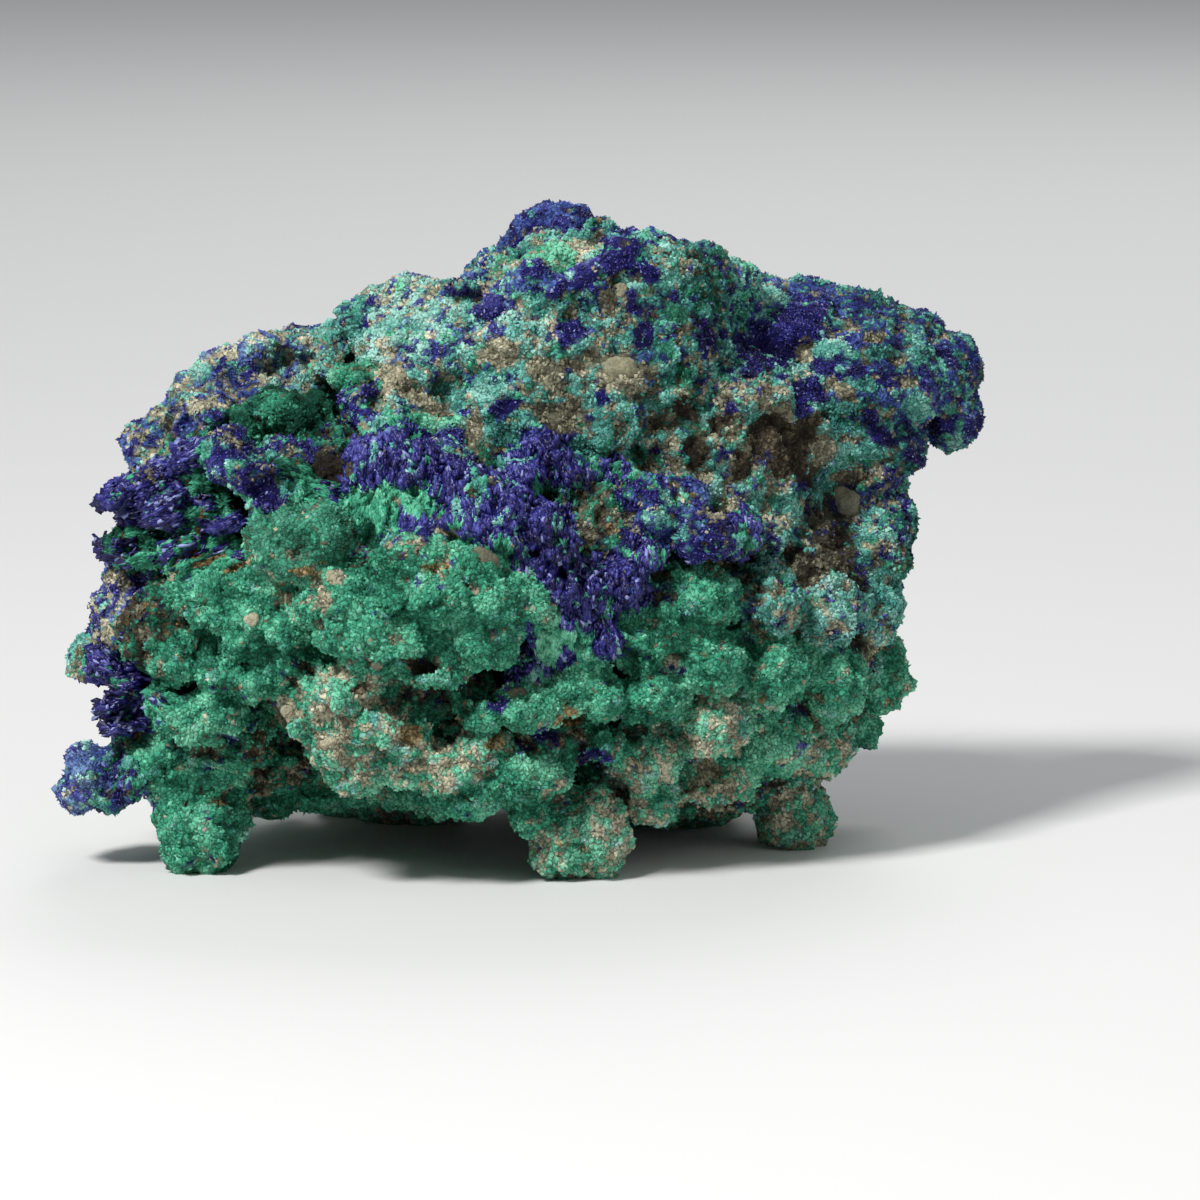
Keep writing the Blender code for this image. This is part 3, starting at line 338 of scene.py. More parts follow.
        (-12.6, 24.6, -0.4, 1.1, 2.2, 1.3, 0, "fan"), (-11.4, 24.7, 0.6, 1.1, 2.2, 1.1, 0, "fan"),
        (-15.3, 24.1, 0.4, 1.1, 2.2, 0.9, 0, "fan"),
    ]),
    "upperLedges": ("blueLoose", [
        (-9.2, 26.7, -1, 1.2, 2.2, 0.8, 0, "velvet"), (-9, 25.7, -3, 1.3, 1.8, 0.5, -20),
        (-8.7, 24.5, -4, 1.2, 1.8, 0.6), (-7.1, 24.9, -4, 1.1, 1.6, 0.6, -15),
        (-5.6, 26.7, -3, 1.2, 2, 1, 0, "powder"), (-5.3, 25.3, -4, 1.3, 1.8, 0.5, 10, "sand"),
        (-4.8, 24.2, -5, 1.4, 1.8, 0.5, 10, "velvet"), (-7.4, 23.8, -5, 1.8, 1.8, 0.5, 0, "blueGreen"),
        (-6.8, 26, -2.4, 1.4, 2.2, 1.6, 0, "sand"), (-4.4, 22.8, -5.6, 1.6, 2, 0.8),
    ]),
    "lowerRight": ("velvet", [
        (6.6, 12.4, -7, 2.2, 3.4, 2), (7, 9, -7.4, 2, 3.2, 1.7),
        (6.6, 5.6, -5.6, 1.9, 3, 1.8, 0, "sandy"), (7.4, 3.2, -3.6, 1.9, 3, 1.5, 0, "sandy"),
        (9.8, 14.4, -6, 2.2, 3.4, 1.8, -10), (10.2, 11, -6.4, 2.1, 3.4, 1.8),
        (10.4, 7.4, -5, 2.1, 3.2, 1.8, 0, "sandy"), (10.6, 4.2, -2.6, 2, 3.2, 1.5, 0, "sandy"),
        (13.2, 14.2, -3.4, 2.2, 3.6, 2, -15, "powder"), (13.6, 10.4, -3.8, 2.1, 3.4, 1.9),
        (13.4, 6.6, -1.6, 2.1, 3.4, 1.9), (16.4, 13.6, -0.4, 2.1, 3.8, 2, -20, "powder"),
        (16.8, 9.8, -0.2, 2, 3.6, 2), (16.2, 6, 1.6, 2, 3.6, 1.9, 0, "sandy"),
        (19, 14, 4, 2.1, 4, 2.1, -20, "powder"), (19.4, 10.2, 5, 1.8, 3.8, 2),
    ]),
    "rear": ("velvet", [
        (-19.2, 19.2, 5, 2, 4.2, 3, 15, "backCrust"), (-19.2, 12.2, 6.5, 3.4, 4.6, 3.6, -10),
        (-17.6, 7.2, 6, 3, 4.4, 2.6, 20), (-14.8, 19.4, 10.5, 4.2, 4.4, 3.6, 25, "powder"),
        (-13.6, 11, 12, 4.8, 4, 4.4), (-10.6, 24.8, 11.5, 3.6, 3.8, 2.6, -15, "blueGreen"),
        (-9.4, 5.6, 10.5, 4.4, 4.6, 2.6, 10, "sandy"), (-6.4, 18.4, 15, 4.6, 3.4, 3.8, -20, "powder"),
        (-4.4, 11, 16, 5.2, 3.2, 3.2, 15), (-3.6, 26.6, 13, 4.4, 3.6, 3, -10, "backCrust"),
        (0.6, 21.6, 16.5, 3.2, 2.8, 2.6, 0, "blueLoose"), (1.4, 6.4, 15, 4.2, 3.6, 2.4, -10, "sandy"),
        (3.4, 28.8, 13, 3.4, 3.4, 3, 0, "wing"), (4.2, 15.6, 18, 5.4, 2.4, 3.4, 10, "sand"),
        (8.6, 24.6, 15.5, 4.4, 3.4, 3.6, 20, "streaked"), (9.8, 9.6, 15, 4.6, 3.6, 3.6, -15),
        (12, 17.6, 16, 3.8, 3.2, 3, 0, "powder"), (16.2, 23, 13.5, 3.6, 3.6, 3.4, -20, "wing"),
        (17.2, 15.6, 12, 3.4, 4.2, 3.8, 10, "powder"), (15.4, 8.4, 10, 3.6, 4.4, 3.2),
        (17.6, 20.2, 10, 2, 3.4, 2.4, 20, "powder"), (-6.4, 3.8, 13, 3.6, 4, 3, 10, "sandy"),
        (8.8, 3.8, 12, 4, 4.4, 3.2, -10, "sandy"),
    ]),
}

rearKnobs = {
    "perMass": 9, "radii": (0.8, 2.1), "flatness": (0.6, 1.0), "depth": 0.9, "lean": 40, "seed": 7,
    "outward": (0.3, 0.8),  # middle and spread of how far back they are pushed
}

bodyShape = {
    "voxel": 0.32,
    "faces": 161000,  # after the rear is thinned
    "fineFrom": 0.25,  # crusts with ribs this deep get finer faces
    "setBack": 0.12,
    "roundness": 3,  # icosphere subdivisions of a lobe
    "knobSize": 2.1,
    "knobHeight": 0.3, "knobCut": 0.45,
    "swellSize": 5.5,
    "swellHeight": 0.4, "swellDetail": (0.8, 2.1, 3),
    "budSize": 0.95,  # small cauliflower buds
    "budHeight": 0.26, "budCut": 0.5,
    "crumbs": ((0.62, 0.22), (0.34, 0.11)), "crumbCut": 0.5,  # size and height
    "ribWidth": 0.38,
    "ribLength": 2.6,
    "ribCut": 0.35, "ribSharp": 1.6,
    "ribRun": (0.12, 0.0, 1.0),  # the way upright furrows run
    "borderWidth": 1.2,  # over how large a lead one mineral's height blends into the next one's
}


def addObject(name, data):
    item = bpy.data.objects.new(name, data)
    bpy.context.scene.collection.objects.link(item)
    return item


def meshFrom(name, bm):
    mesh = bpy.data.meshes.new(name)
    bm.to_mesh(mesh)
    bm.free()
    return mesh


def sightPoint(across, up, back):
    onSheet = Vector((across, 0.0, up))
    away = (onSheet - viewpoint).normalized()
    return onSheet + away * back - centre


def growRearKnobs():
    draw = random.Random(rearKnobs["seed"])
    knobs = []
    for across, up, back, halfWidth, halfDepth, halfHeight, turn, crust in lobes["rear"]:
        for _ in range(rearKnobs["perMass"]):
            sideways, outward, upward = draw.gauss(0, 1), draw.gauss(*rearKnobs["outward"]), draw.gauss(0, 1)
            out = Vector((sideways, abs(outward), upward)).normalized()
            radius = draw.uniform(*rearKnobs["radii"])
            flat = draw.uniform(*rearKnobs["flatness"])
            lean = draw.uniform(-rearKnobs["lean"], rearKnobs["lean"])
            knobs.append((
                across + out.x * halfWidth,
                up + out.z * halfHeight,
                back + out.y * halfDepth,
                radius, radius * rearKnobs["depth"], radius * flat, lean, crust,
            ))
    return knobs


def fullLobes(usualCrust, group):
    usual = (0, usualCrust)
    return [lobe + usual[len(lobe) - 6:] for lobe in group]


lobes = {name: fullLobes(*group) for name, group in lobeGroups.items()}
allLobes = [lobe for group in lobes.values() for lobe in group] + growRearKnobs()
coreCount = len(lobes["core"])


def lobeMatrix(lobe):
    across, up, back, halfWidth, halfDepth, halfHeight, turn, crust = lobe
    place = Matrix.Translation(sightPoint(across, up, back))
    tip = Matrix.Rotation(math.radians(turn), 4, "Y")
    return place @ tip @ Matrix.Diagonal((halfWidth, halfDepth, halfHeight, 1.0))


def fuseLobes():
    bm = bmesh.new()
    scale = Matrix.Scale(mm, 4)
    for lobe in allLobes:
        bmesh.ops.create_icosphere(
            bm, subdivisions=bodyShape["roundness"], radius=1.0, matrix=scale @ lobeMatrix(lobe)
        )
    body = addObject("specimenBody", meshFrom("specimenBody", bm))
    remesh = body.modifiers.new("Remesh", "REMESH")
    remesh.mode = "VOXEL"
    remesh.voxel_size = bodyShape["voxel"] * mm
    applyModifiers(body)
    return body


def applyModifiers(body):
    graph = bpy.context.evaluated_depsgraph_get()
    made = bpy.data.meshes.new_from_object(body.evaluated_get(graph))
    body.modifiers.clear()
    body.data = made


def thinRear(body):
    # the rear keeps fewer faces, so that the side towards the viewpoint can have small ones
    points = readArray(body.data.vertices, "co", 3) / mm
    normals = readArray(body.data.vertices, "normal", 3)
    away = ((np.array(viewpoint - centre) - points) * normals).sum(1) < 0
    rear = body.vertex_groups.new(name="rear")
    rear.add(np.flatnonzero(away).tolist(), 1.0, "REPLACE")
    thin = body.modifiers.new("Decimate", "DECIMATE")
    thin.ratio = bodyShape["faces"] / (len(body.data.polygons) * 2)
    thin.vertex_group = "rear"
    applyModifiers(body)
    body.vertex_groups.clear()


def refineRibs(body):
    # faces in sight that carry furrows are split once more, so that the furrows have corners to follow
    bm = bmesh.new()
    bm.from_mesh(body.data)
    points = np.array([face.calc_center_median() for face in bm.faces]) / mm
    normals = np.array([face.normal for face in bm.faces])
    facing = ((np.array(viewpoint - centre) - points) * normals).sum(1) > 0
    deep = crustRibs[lobeField.crust[lobeField.nearest(points)]] >= bodyShape["fineFrom"]
    bm.faces.ensure_lookup_table()
    edges = {edge for k in np.flatnonzero(facing & deep) for edge in bm.faces[k].edges}
    edges = sorted(edges, key=lambda edge: edge.index)
    bmesh.ops.subdivide_edges(bm, edges=edges, cuts=1, use_grid_fill=True)
    bmesh.ops.triangulate(bm, faces=[face for face in bm.faces if len(face.verts) > 4])
    bm.to_mesh(body.data)
    bm.free()


def dropIslands(mesh):
    # keeps the skin that has the most corners, and drops any closed pocket inside
    bm = bmesh.new()
    bm.from_mesh(mesh)
    bm.verts.ensure_lookup_table()
    seen = set()
    islands = []
    for start in bm.verts:
        if start in seen:
            continue
        island = [start]
        seen.add(start)
        for corner in island:
            for edge in corner.link_edges:
                other = edge.other_vert(corner)
                if other not in seen:
                    seen.add(other)
                    island.append(other)
        islands.append(island)
    islands.sort(key=len)
    for island in islands[:-1]:
        bmesh.ops.delete(bm, geom=island, context="VERTS")
    bm.to_mesh(mesh)
    bm.free()


def readArray(items, field, width):
    values = np.empty(len(items) * width, np.float32)
    items.foreach_get(field, values)
    return (values.reshape(-1, width) if width > 1 else values).astype(float)


def storeArray(mesh, name, values):
    # keeps one number or one vector on each corner of the mesh
    kind, field = ("FLOAT_VECTOR", "vector") if values.ndim > 1 else ("FLOAT", "value")
    layer = mesh.attributes.new(name, kind, "POINT")
    layer.data.foreach_set(field, values.astype(np.float32).ravel())


def cornerValues(cells, seed):
    # whole numbers are jumbled so that each corner of the noise's grid has its own value from -1 to 1
    jumble = (cells * np.array((73856093, 19349663, 83492791))).sum(-1) + seed * 15485863
    jumble = ((jumble ^ (jumble >> 13)) & 0x7FFFFFFF) * 1274126177
    jumble = (jumble ^ (jumble >> 15)) & 0xFFFFFF
    return jumble / 0x7FFFFF - 1


skew = np.array(Matrix.Rotation(0.9, 3, Vector((1, 2, 3)).normalized()))  # turns the noise's grid


def noiseField(points, size, seed):
    # smooth noise from -1 to 1, whose lumps are about as wide as size
    scaled = points @ skew / size + seed * 0.37
    cell = np.floor(scaled).astype(np.int64)
    part = scaled - cell
    part = part * part * (3 - 2 * part)
    total = np.zeros(len(points))
    for corner in itertools.product((0, 1), repeat=3):
        weight = np.where(np.array(corner) == 1, part, 1 - part).prod(axis=1)
        total += cornerValues(cell + np.array(corner), seed) * weight
    return total


lobeSearch = {"bigRadius": 3.6, "tried": 12, "coreSetBack": 0.5, "raggedSize": 1.1, "raggedReach": 0.5}


class LobeField:
    # finds the lobe whose skin is nearest to each point
    def __init__(self):
        matrices = [lobeMatrix(lobe) for lobe in allLobes]
        self.centres = np.array([matrix.translation for matrix in matrices])
        self.inverse = np.array([matrix.to_3x3().inverted() for matrix in matrices])
        self.radius = np.array([(lobe[3] * lobe[4] * lobe[5]) ** (1 / 3) for lobe in allLobes])
        self.crust = np.array([crustNames.index(lobe[7]) for lobe in allLobes])
        turns = np.radians([lobe[6] for lobe in allLobes])
        self.along = np.stack([np.cos(turns), np.zeros(len(turns)), -np.sin(turns)], axis=1)
        self.big = [k for k in range(len(allLobes)) if self.radius[k] > lobeSearch["bigRadius"]]
        self.small = [k for k in range(len(allLobes)) if k not in self.big]
        self.tree = kdtree.KDTree(len(self.small))
        for place, k in enumerate(self.small):
            self.tree.insert(self.centres[k], place)
        self.tree.balance()

    def nearest(self, points):
        # the small lobes are looked up by the distance of their centres, the few big ones all tested
        distances, indices = [], []
        for k in self.big:
            distances.append(self.skinDistance(points, np.full(len(points), k)))
            indices.append(np.full(len(points), k))
        found = np.array([
            [self.small[hit[1]] for hit in self.tree.find_n(point, lobeSearch["tried"])]
            for point in points.tolist()
        ])
        for column in found.T:
            distances.append(self.skinDistance(points, column))
            indices.append(column)
        distances, indices = np.array(distances), np.array(indices)
        best = distances.argmin(axis=0)
        return indices[best, np.arange(len(points))]

    def skinDistance(self, points, index):
        unit = np.einsum("nij,nj->ni", self.inverse[index], points - self.centres[index])
        distance = (np.linalg.norm(unit, axis=1) - 1) * self.radius[index]
        return distance + np.where(index < coreCount, lobeSearch["coreSetBack"], 0)


lobeField = LobeField()


def raggedLobes(points):
    # the borders between lobes wander, so that no lobe's colour ends in a clean curve
    size, reach = lobeSearch["raggedSize"], lobeSearch["raggedReach"]
    warp = np.stack([noiseField(points, size, seed) for seed in (1, 2, 3)], axis=1)
    return lobeField.nearest(points + warp * reach)


clumps = {
    "coarseSize": 2.0, "coarse": 1.0,
    "fineSize": 0.54, "fine": 2.7,
    "grainSize": 0.25, "grain": 1.5,
    "rarest": 0.002,  # share that even an absent mineral counts with
    "spotRagged": 0.45, "spotRaggedSize": 0.7, "spotBoost": 9.0,
    "spotFacing": 0.1,  # a spot is left off skin that turns away more than this
    "strayMost": 0.5, "strayFade": 0.45,  # crumbs of the second mineral near a border
}


def spotScores(points, normals):
    # how strongly the listed spots call for each mineral
    seen = points + np.array(centre)
    eye = np.array(viewpoint)
    sight = seen - eye
    onSheet = eye + sight * (-eye[1] / sight[:, 1])[:, None]
    facing = -(normals * sight).sum(1) / np.linalg.norm(sight, axis=1) > clumps["spotFacing"]
    wander = noiseField(points, clumps["spotRaggedSize"], 71) * clumps["spotRagged"]
    scores = np.zeros((len(points), len(mineralNames)))
    for mineral, places in spots.items():
        column = mineralNames.index(mineral)
        for across, up, halfWidth, halfHeight, turn in places:
            x, z = onSheet[:, 0] - across, onSheet[:, 2] - up
            c, s = math.cos(math.radians(turn)), math.sin(math.radians(turn))
            reach = np.hypot((x * c - z * s) / halfWidth, (x * s + z * c) / halfHeight)
            scores[facing & (reach + wander < 1), column] = clumps["spotBoost"]
    return scores


crustRibs = np.array([crusts[name]["ribs"] for name in crustNames])
shareTable = np.array([
    [crusts[name]["shares"].get(mineral, 0) / 100 for mineral in mineralNames] for name in crustNames
])


def mineralScores(points, normals, lobeIndex):
    score = np.log(shareTable[lobeField.crust[lobeIndex]] + clumps["rarest"])
    for k in range(len(mineralNames)):
        for scale, seed in (("coarse", 11), ("fine", 31), ("grain", 91)):
            score[:, k] += noiseField(points, clumps[scale + "Size"], seed + k) * clumps[scale]
    return score + spotScores(points, normals)


def firstAndSecond(score):
    # the two strongest minerals at each point, and by how much the first leads
    order = np.argsort(score, axis=1)
    rows = np.arange(len(score))
    first, second = order[:, -1], order[:, -2]
    return first, second, score[rows, first] - score[rows, second]


def ribPattern(points, lobeIndex):
    # ridges that run up the slope on upright crusts, and along the lobe on laid ones
    shape = bodyShape
    laid = np.array([crusts[name]["lay"] == "along" for name in crustNames])[lobeField.crust[lobeIndex]]
    run = np.where(laid[:, None], lobeField.along[lobeIndex], np.array(shape["ribRun"]))
    run = run / np.linalg.norm(run, axis=1)[:, None]
    length = (points * run).sum(1)
    across = points - run * length[:, None]
    squeezed = across / shape["ribWidth"] + run * (length / shape["ribLength"])[:, None]
    furrow = shape["ribCut"] - np.abs(noiseField(squeezed, 1.0, 5)) * shape["ribSharp"]
    return furrow * crustRibs[lobeField.crust[lobeIndex]]


def shapeBody(body):
    mesh = body.data
    shape = bodyShape
    points = readArray(mesh.vertices, "co", 3) / mm
    normals = readArray(mesh.vertices, "normal", 3)
    index = raggedLobes(points)
    first, second, lead = firstAndSecond(mineralScores(points, normals, index))
    rises = np.array([minerals[name]["rise"] for name in mineralNames])
    rise, relief = np.empty(len(points)), np.empty(len(points))
    for k, point in enumerate(points.tolist()):
        at = Vector(point)
        knob = (shape["knobCut"] - noise.voronoi(at / shape["knobSize"])[0][0]) * shape["knobHeight"] * 2
        swell = noise.fractal(at / shape["swellSize"], *shape["swellDetail"]) * shape["swellHeight"]
        rise[k] = knob + swell - shape["setBack"]
        bud = shape["budCut"] - noise.voronoi(at / shape["budSize"])[0][0]
        relief[k] = bud * shape["budHeight"] * 2
    for k, (size, height) in enumerate(shape["crumbs"]):
        relief += (np.abs(noiseField(points, size, 41 + k)) * 2 - shape["crumbCut"]) * height
    rise += relief * np.array([crusts[name]["rough"] for name in crustNames])[lobeField.crust[index]]
    rise += ribPattern(points, index)
    blend = np.clip(lead / shape["borderWidth"], 0, 1) * 0.5 + 0.5
    rise += rises[first] * blend + rises[second] * (1 - blend)
    storeArray(mesh, "base", points)
    storeArray(mesh, "lobe", index)
    storeArray(mesh, "rise", rise)
    moved = (points + normals * rise[:, None]) * mm
    mesh.vertices.foreach_set("co", moved.astype(np.float32).ravel())
    mesh.update()


def grindFlat(body):
    bm = bmesh.new()
    bm.from_mesh(body.data)
    everything = bm.verts[:] + bm.edges[:] + bm.faces[:]
    bmesh.ops.bisect_plane(bm, geom=everything, plane_co=(0, 0, 0), plane_no=(0, 0, -1), clear_outer=True)
    rims = [edge for edge in bm.edges if edge.is_boundary]
    bmesh.ops.holes_fill(bm, edges=rims, sides=0)
    bmesh.ops.triangulate(bm, faces=[face for face in bm.faces if len(face.verts) > 4])
    bmesh.ops.recalc_face_normals(bm, faces=bm.faces[:])
    bm.to_mesh(body.data)
    bm.free()


def linear(channel):
    share = channel / 255
    return share / 12.92 if share <= 0.04045 else ((share + 0.055) / 1.055) ** 2.4


tones = np.array([[[linear(c) for c in tone] for tone in minerals[name]["tones"]] for name in mineralNames])


def toneColours(mineral, level):
    # level runs from 0, dark, to 1, light
    level = np.clip(level, 0, 1)[:, None]
    dark, middle, light = (tones[mineral, k] for k in range(3))
    low = dark + (middle - dark) * np.clip(level * 2, 0, 1)
    return low + (light - middle) * np.clip(level * 2 - 1, 0, 1)


def writeColours(mesh, name, colours, shares=None):
    layer = mesh.color_attributes.new(name, "FLOAT_COLOR", "POINT")
    full = np.ones((len(colours), 4), np.float32)
    full[:, :3] = colours
    if shares is not None:
        full[:, 3] = shares
    layer.data.foreach_set("color", full.ravel())


brightness = {
    "middle": 0.43,
    "wideSize": 1.6, "wide": 0.28,
    "fineSize": 0.36, "fine": 0.30,
    # painted light and shade: what stands out is painted lighter and the hollows darker
    "paintedShadeByRise": 0.5,  # how much lighter what stands out is than the hollows
}
crustTones = np.array([crusts[name]["tone"] for name in crustNames])


# a random tone, plus painted light and shade by rise, plus each crust's tone, which holds painted shade too
def brightLevel(base, rise, lobeIndex):
    level = brightness["middle"] + noiseField(base, brightness["wideSize"], 51) * brightness["wide"]
    level += noiseField(base, brightness["fineSize"], 52) * brightness["fine"]
    return level + rise * brightness["paintedShadeByRise"] + crustTones[lobeField.crust[lobeIndex]]


def makeBody():
    body = fuseLobes()
    dropIslands(body.data)
    thinRear(body)
    refineRibs(body)
    shapeBody(body)
    grindFlat(body)
    mesh = body.data
    base = readArray(mesh.attributes["base"].data, "vector", 3)
    index = readArray(mesh.attributes["lobe"].data, "value", 1).astype(int)
    rise = readArray(mesh.attributes["rise"].data, "value", 1)
    normals = readArray(mesh.vertices, "normal", 3)
    first, second, lead = firstAndSecond(mineralScores(base, normals, index))
    level = brightLevel(base, rise, index)
    # near a border, some of the crumbs in the finish take the second mineral's colour
    strays = np.clip(clumps["strayMost"] - lead * clumps["strayFade"], 0, clumps["strayMost"])
    writeColours(mesh, "tone", toneColours(first, level), strays)
    writeColours(mesh, "stray", toneColours(second, level))
    mesh.shade_smooth()
    print("body shaped:", sum(len(face.vertices) - 2 for face in mesh.polygons), "triangles")
    return body


body = makeBody()

# Shapes that are grown many times have few faces: a small shard and a flat crystal blade.


def shardShape(sides):
    # two blunt cones, base to base, along X
    bm = bmesh.new()
    bmesh.ops.create_cone(bm, cap_ends=True, segments=sides, radius1=1.0, radius2=0.0, depth=1.0)
    base = [face for face in bm.faces if face.normal.z < -0.9]
    poked = bmesh.ops.poke(bm, faces=base)
    bmesh.ops.translate(bm, vec=(0, 0, -1.0), verts=poked["verts"])
    bmesh.ops.translate(bm, vec=(0, 0, 0.5), verts=bm.verts)
    bmesh.ops.rotate(bm, cent=(0, 0, 0), matrix=Matrix.Rotation(math.pi / 2, 3, "Y"), verts=bm.verts)
    return templateArrays(bm)


def bladeShape():
    # a slab that narrows towards its upper end, at +X
    bm = bmesh.new()
    bmesh.ops.create_cube(bm, size=2.0)
    top = [corner for corner in bm.verts if corner.co.x > 0]
    bmesh.ops.scale(bm, vec=(1.0, 0.6, 0.65), verts=top)
    bottom = [corner for corner in bm.verts if corner.co.x < 0]
    bmesh.ops.scale(bm, vec=(1.0, 0.85, 0.85), verts=bottom)
    return templateArrays(bm)


def templateArrays(bm):
    bmesh.ops.triangulate(bm, faces=bm.faces[:])
    bmesh.ops.recalc_face_normals(bm, faces=bm.faces[:])
    bm.verts.ensure_lookup_table()
    corners = np.array([corner.co[:] for corner in bm.verts])
    faces = np.array([[corner.index for corner in face.verts] for face in bm.faces])
    bm.free()
    return corners, faces


templates = {"shard": shardShape(3), "blade": bladeShape()}

# long, broad and thin are half sizes. broad points away from the skin, and sink says how much of it
# is under the skin. tilt is how far each shape strays from its neighbours' direction. soft is how much
# a shape is shaded as the skin below it is, and None gives it flat faces. glint is the share of very pale
# ones, painted glints that stand in for highlights. lighter is painted light: how much lighter the
# shapes, which stand out of the skin, are than the skin below.
growth = {
    "azuriteBlades": {
        "minerals": ("azurite",), "lays": ("upright",), "count": 12000, "shape": "blade",
        "long": (0.10, 0.30), "broad": (0.07, 0.15), "thin": (0.06, 0.11), "tilt": 0.16, "sink": 0.62,
        "uneven": 0.3, "spread": 0.24, "lighter": 0.0, "soft": None, "glint": 0.04,
    },
    "azuritePlates": {
        "minerals": ("azurite",), "lays": ("along",), "count": 5000, "shape": "blade",
        "long": (0.16, 0.44), "broad": (0.08, 0.17), "thin": (0.04, 0.08), "tilt": 0.12, "sink": 0.6,
        "uneven": 0.25, "spread": 0.24, "lighter": 0.0, "soft": None, "glint": 0.07,
    },
    "azuriteCrystals": {
        "minerals": ("azurite",), "lays": ("loose",), "count": 32000, "shape": "shard",
        "long": (0.08, 0.18), "broad": (0.08, 0.15), "thin": (0.06, 0.12), "tilt": 0.6, "sink": 0.5,
        "uneven": 0.3, "spread": 0.24, "lighter": 0.0, "soft": None, "glint": 0.04,
    },
    "malachiteFibres": {
        "minerals": ("malachite",), "lays": ("upright", "along"), "count": 20000, "shape": "shard",
        "long": (0.10, 0.26), "broad": (0.06, 0.12), "thin": (0.06, 0.11), "tilt": 0.12, "sink": 0.55,
        "uneven": 0.25, "spread": 0.12, "lighter": 0.02, "soft": 0.5, "glint": 0,
    },
    "malachiteCrumbs": {
        "minerals": ("malachite",), "lays": ("loose",), "count": 33000, "shape": "shard",
        "long": (0.08, 0.18), "broad": (0.08, 0.15), "thin": (0.08, 0.15), "tilt": 0.6, "sink": 0.48,
        "uneven": 0.35, "spread": 0.11, "lighter": 0.03, "soft": 0.5, "glint": 0,
    },
    "paleCrumbs": {
        "minerals": ("aqua", "haze", "sage"), "lays": ("upright", "along", "loose"), "count": 33000,
        "shape": "shard", "long": (0.09, 0.18), "broad": (0.07, 0.14), "thin": (0.07, 0.14), "tilt": 0.4,
        "sink": 0.48, "uneven": 0.35, "spread": 0.12, "lighter": 0.03, "soft": 0.4, "glint": 0,
    },
    "rockGrains": {
        "minerals": ("tan", "rust", "umber"), "lays": ("upright", "along", "loose"), "count": 30000,
        "shape": "shard", "long": (0.09, 0.18), "broad": (0.09, 0.16), "thin": (0.09, 0.17), "tilt": 0.7,
        "sink": 0.5, "uneven": 0.2, "spread": 0.13, "lighter": 0.02, "soft": 0.6, "glint": 0,
    },
}
grainRules = {
    "seed": 23,
    "perFace": 3,  # places tried on each face of the body
    "footClearance": 0.5,  # nothing is grown this near the surface it rests on
    "sizeSpread": (0.6, 1.25),
    # painted light on each shape's outer end and painted shade at its foot
    "paintedTipLight": 0.16,  # how much paler the outer end of a shape is than its foot
    "rearShare": 0.4, "rearSize": 1.3,  # fewer and larger shapes on the rear
    # more shapes on what stands out than in the hollows
    "crowding": 0.7, "crowdingByRise": 0.8, "leastCrowding": 0.2,
    "sageShare": 0.6,  # sage crust is smooth, with few crumbs
    # the pale colour of painted glints, which stand in for highlights
    "glintColour": (126, 134, 182),
    "driftSize": 1.2,  # loose shapes lie alike over about this width
}


def skinPlaces(body, draw):
    # random places on the body's faces, with what the skin is made of there
    mesh = body.data
    starts = readArray(mesh.polygons, "loop_start", 1).astype(int)
    totals = readArray(mesh.polygons, "loop_total", 1).astype(int)
    corners = readArray(mesh.loops, "vertex_index", 1).astype(int)
    faces = np.tile(np.arange(len(starts)), grainRules["perFace"])
    steps = np.arange(3)[None, :] + draw.integers(0, 4, len(faces))[:, None]
    picked = corners[starts[faces][:, None] + steps % totals[faces][:, None]]
    weights = draw.dirichlet((1, 1, 1), len(faces))

    def mixed(values):
        return (values[picked] * weights[:, :, None]).sum(axis=1)

    rise = readArray(mesh.attributes["rise"].data, "value", 1)
    lobe = readArray(mesh.attributes["lobe"].data, "value", 1).astype(int)
    return {
        "point": mixed(readArray(mesh.vertices, "co", 3) / mm),
        "base": mixed(readArray(mesh.attributes["base"].data, "vector", 3)),
        "normal": readArray(mesh.polygons, "normal", 3)[faces],
        "rise": mixed(rise[:, None])[:, 0],
        "lobe": lobe[picked[:, 0]],
    }


def grainAxes(normals, along, upright, laid, tilt, draw, points):
    # rows: long direction, broad direction (away from the skin), thin direction
    up = np.array((0.0, 0.0, 1.0)) - normals * normals[:, 2:3] + np.array((0.0, 1e-3, 0.0))
    up /= np.linalg.norm(up, axis=1)[:, None]
    flat = along - normals * (along * normals).sum(1)[:, None] + up * 1e-3
    flat /= np.linalg.norm(flat, axis=1)[:, None]
    drift = np.stack([noiseField(points, grainRules["driftSize"], seed) for seed in (61, 62, 63)], axis=1)
    loose = np.cross(normals, drift) + up * 1e-3
    loose /= np.linalg.norm(loose, axis=1)[:, None]
    long = np.where(upright[:, None], up, np.where(laid[:, None], flat, loose))
    long = long + draw.normal(0, 1, long.shape) * tilt
    long /= np.linalg.norm(long, axis=1)[:, None]
    thin = np.cross(long, normals)
    thin /= np.linalg.norm(thin, axis=1)[:, None]
    broad = np.cross(thin, long)
    return np.stack([long, broad, thin], axis=1)


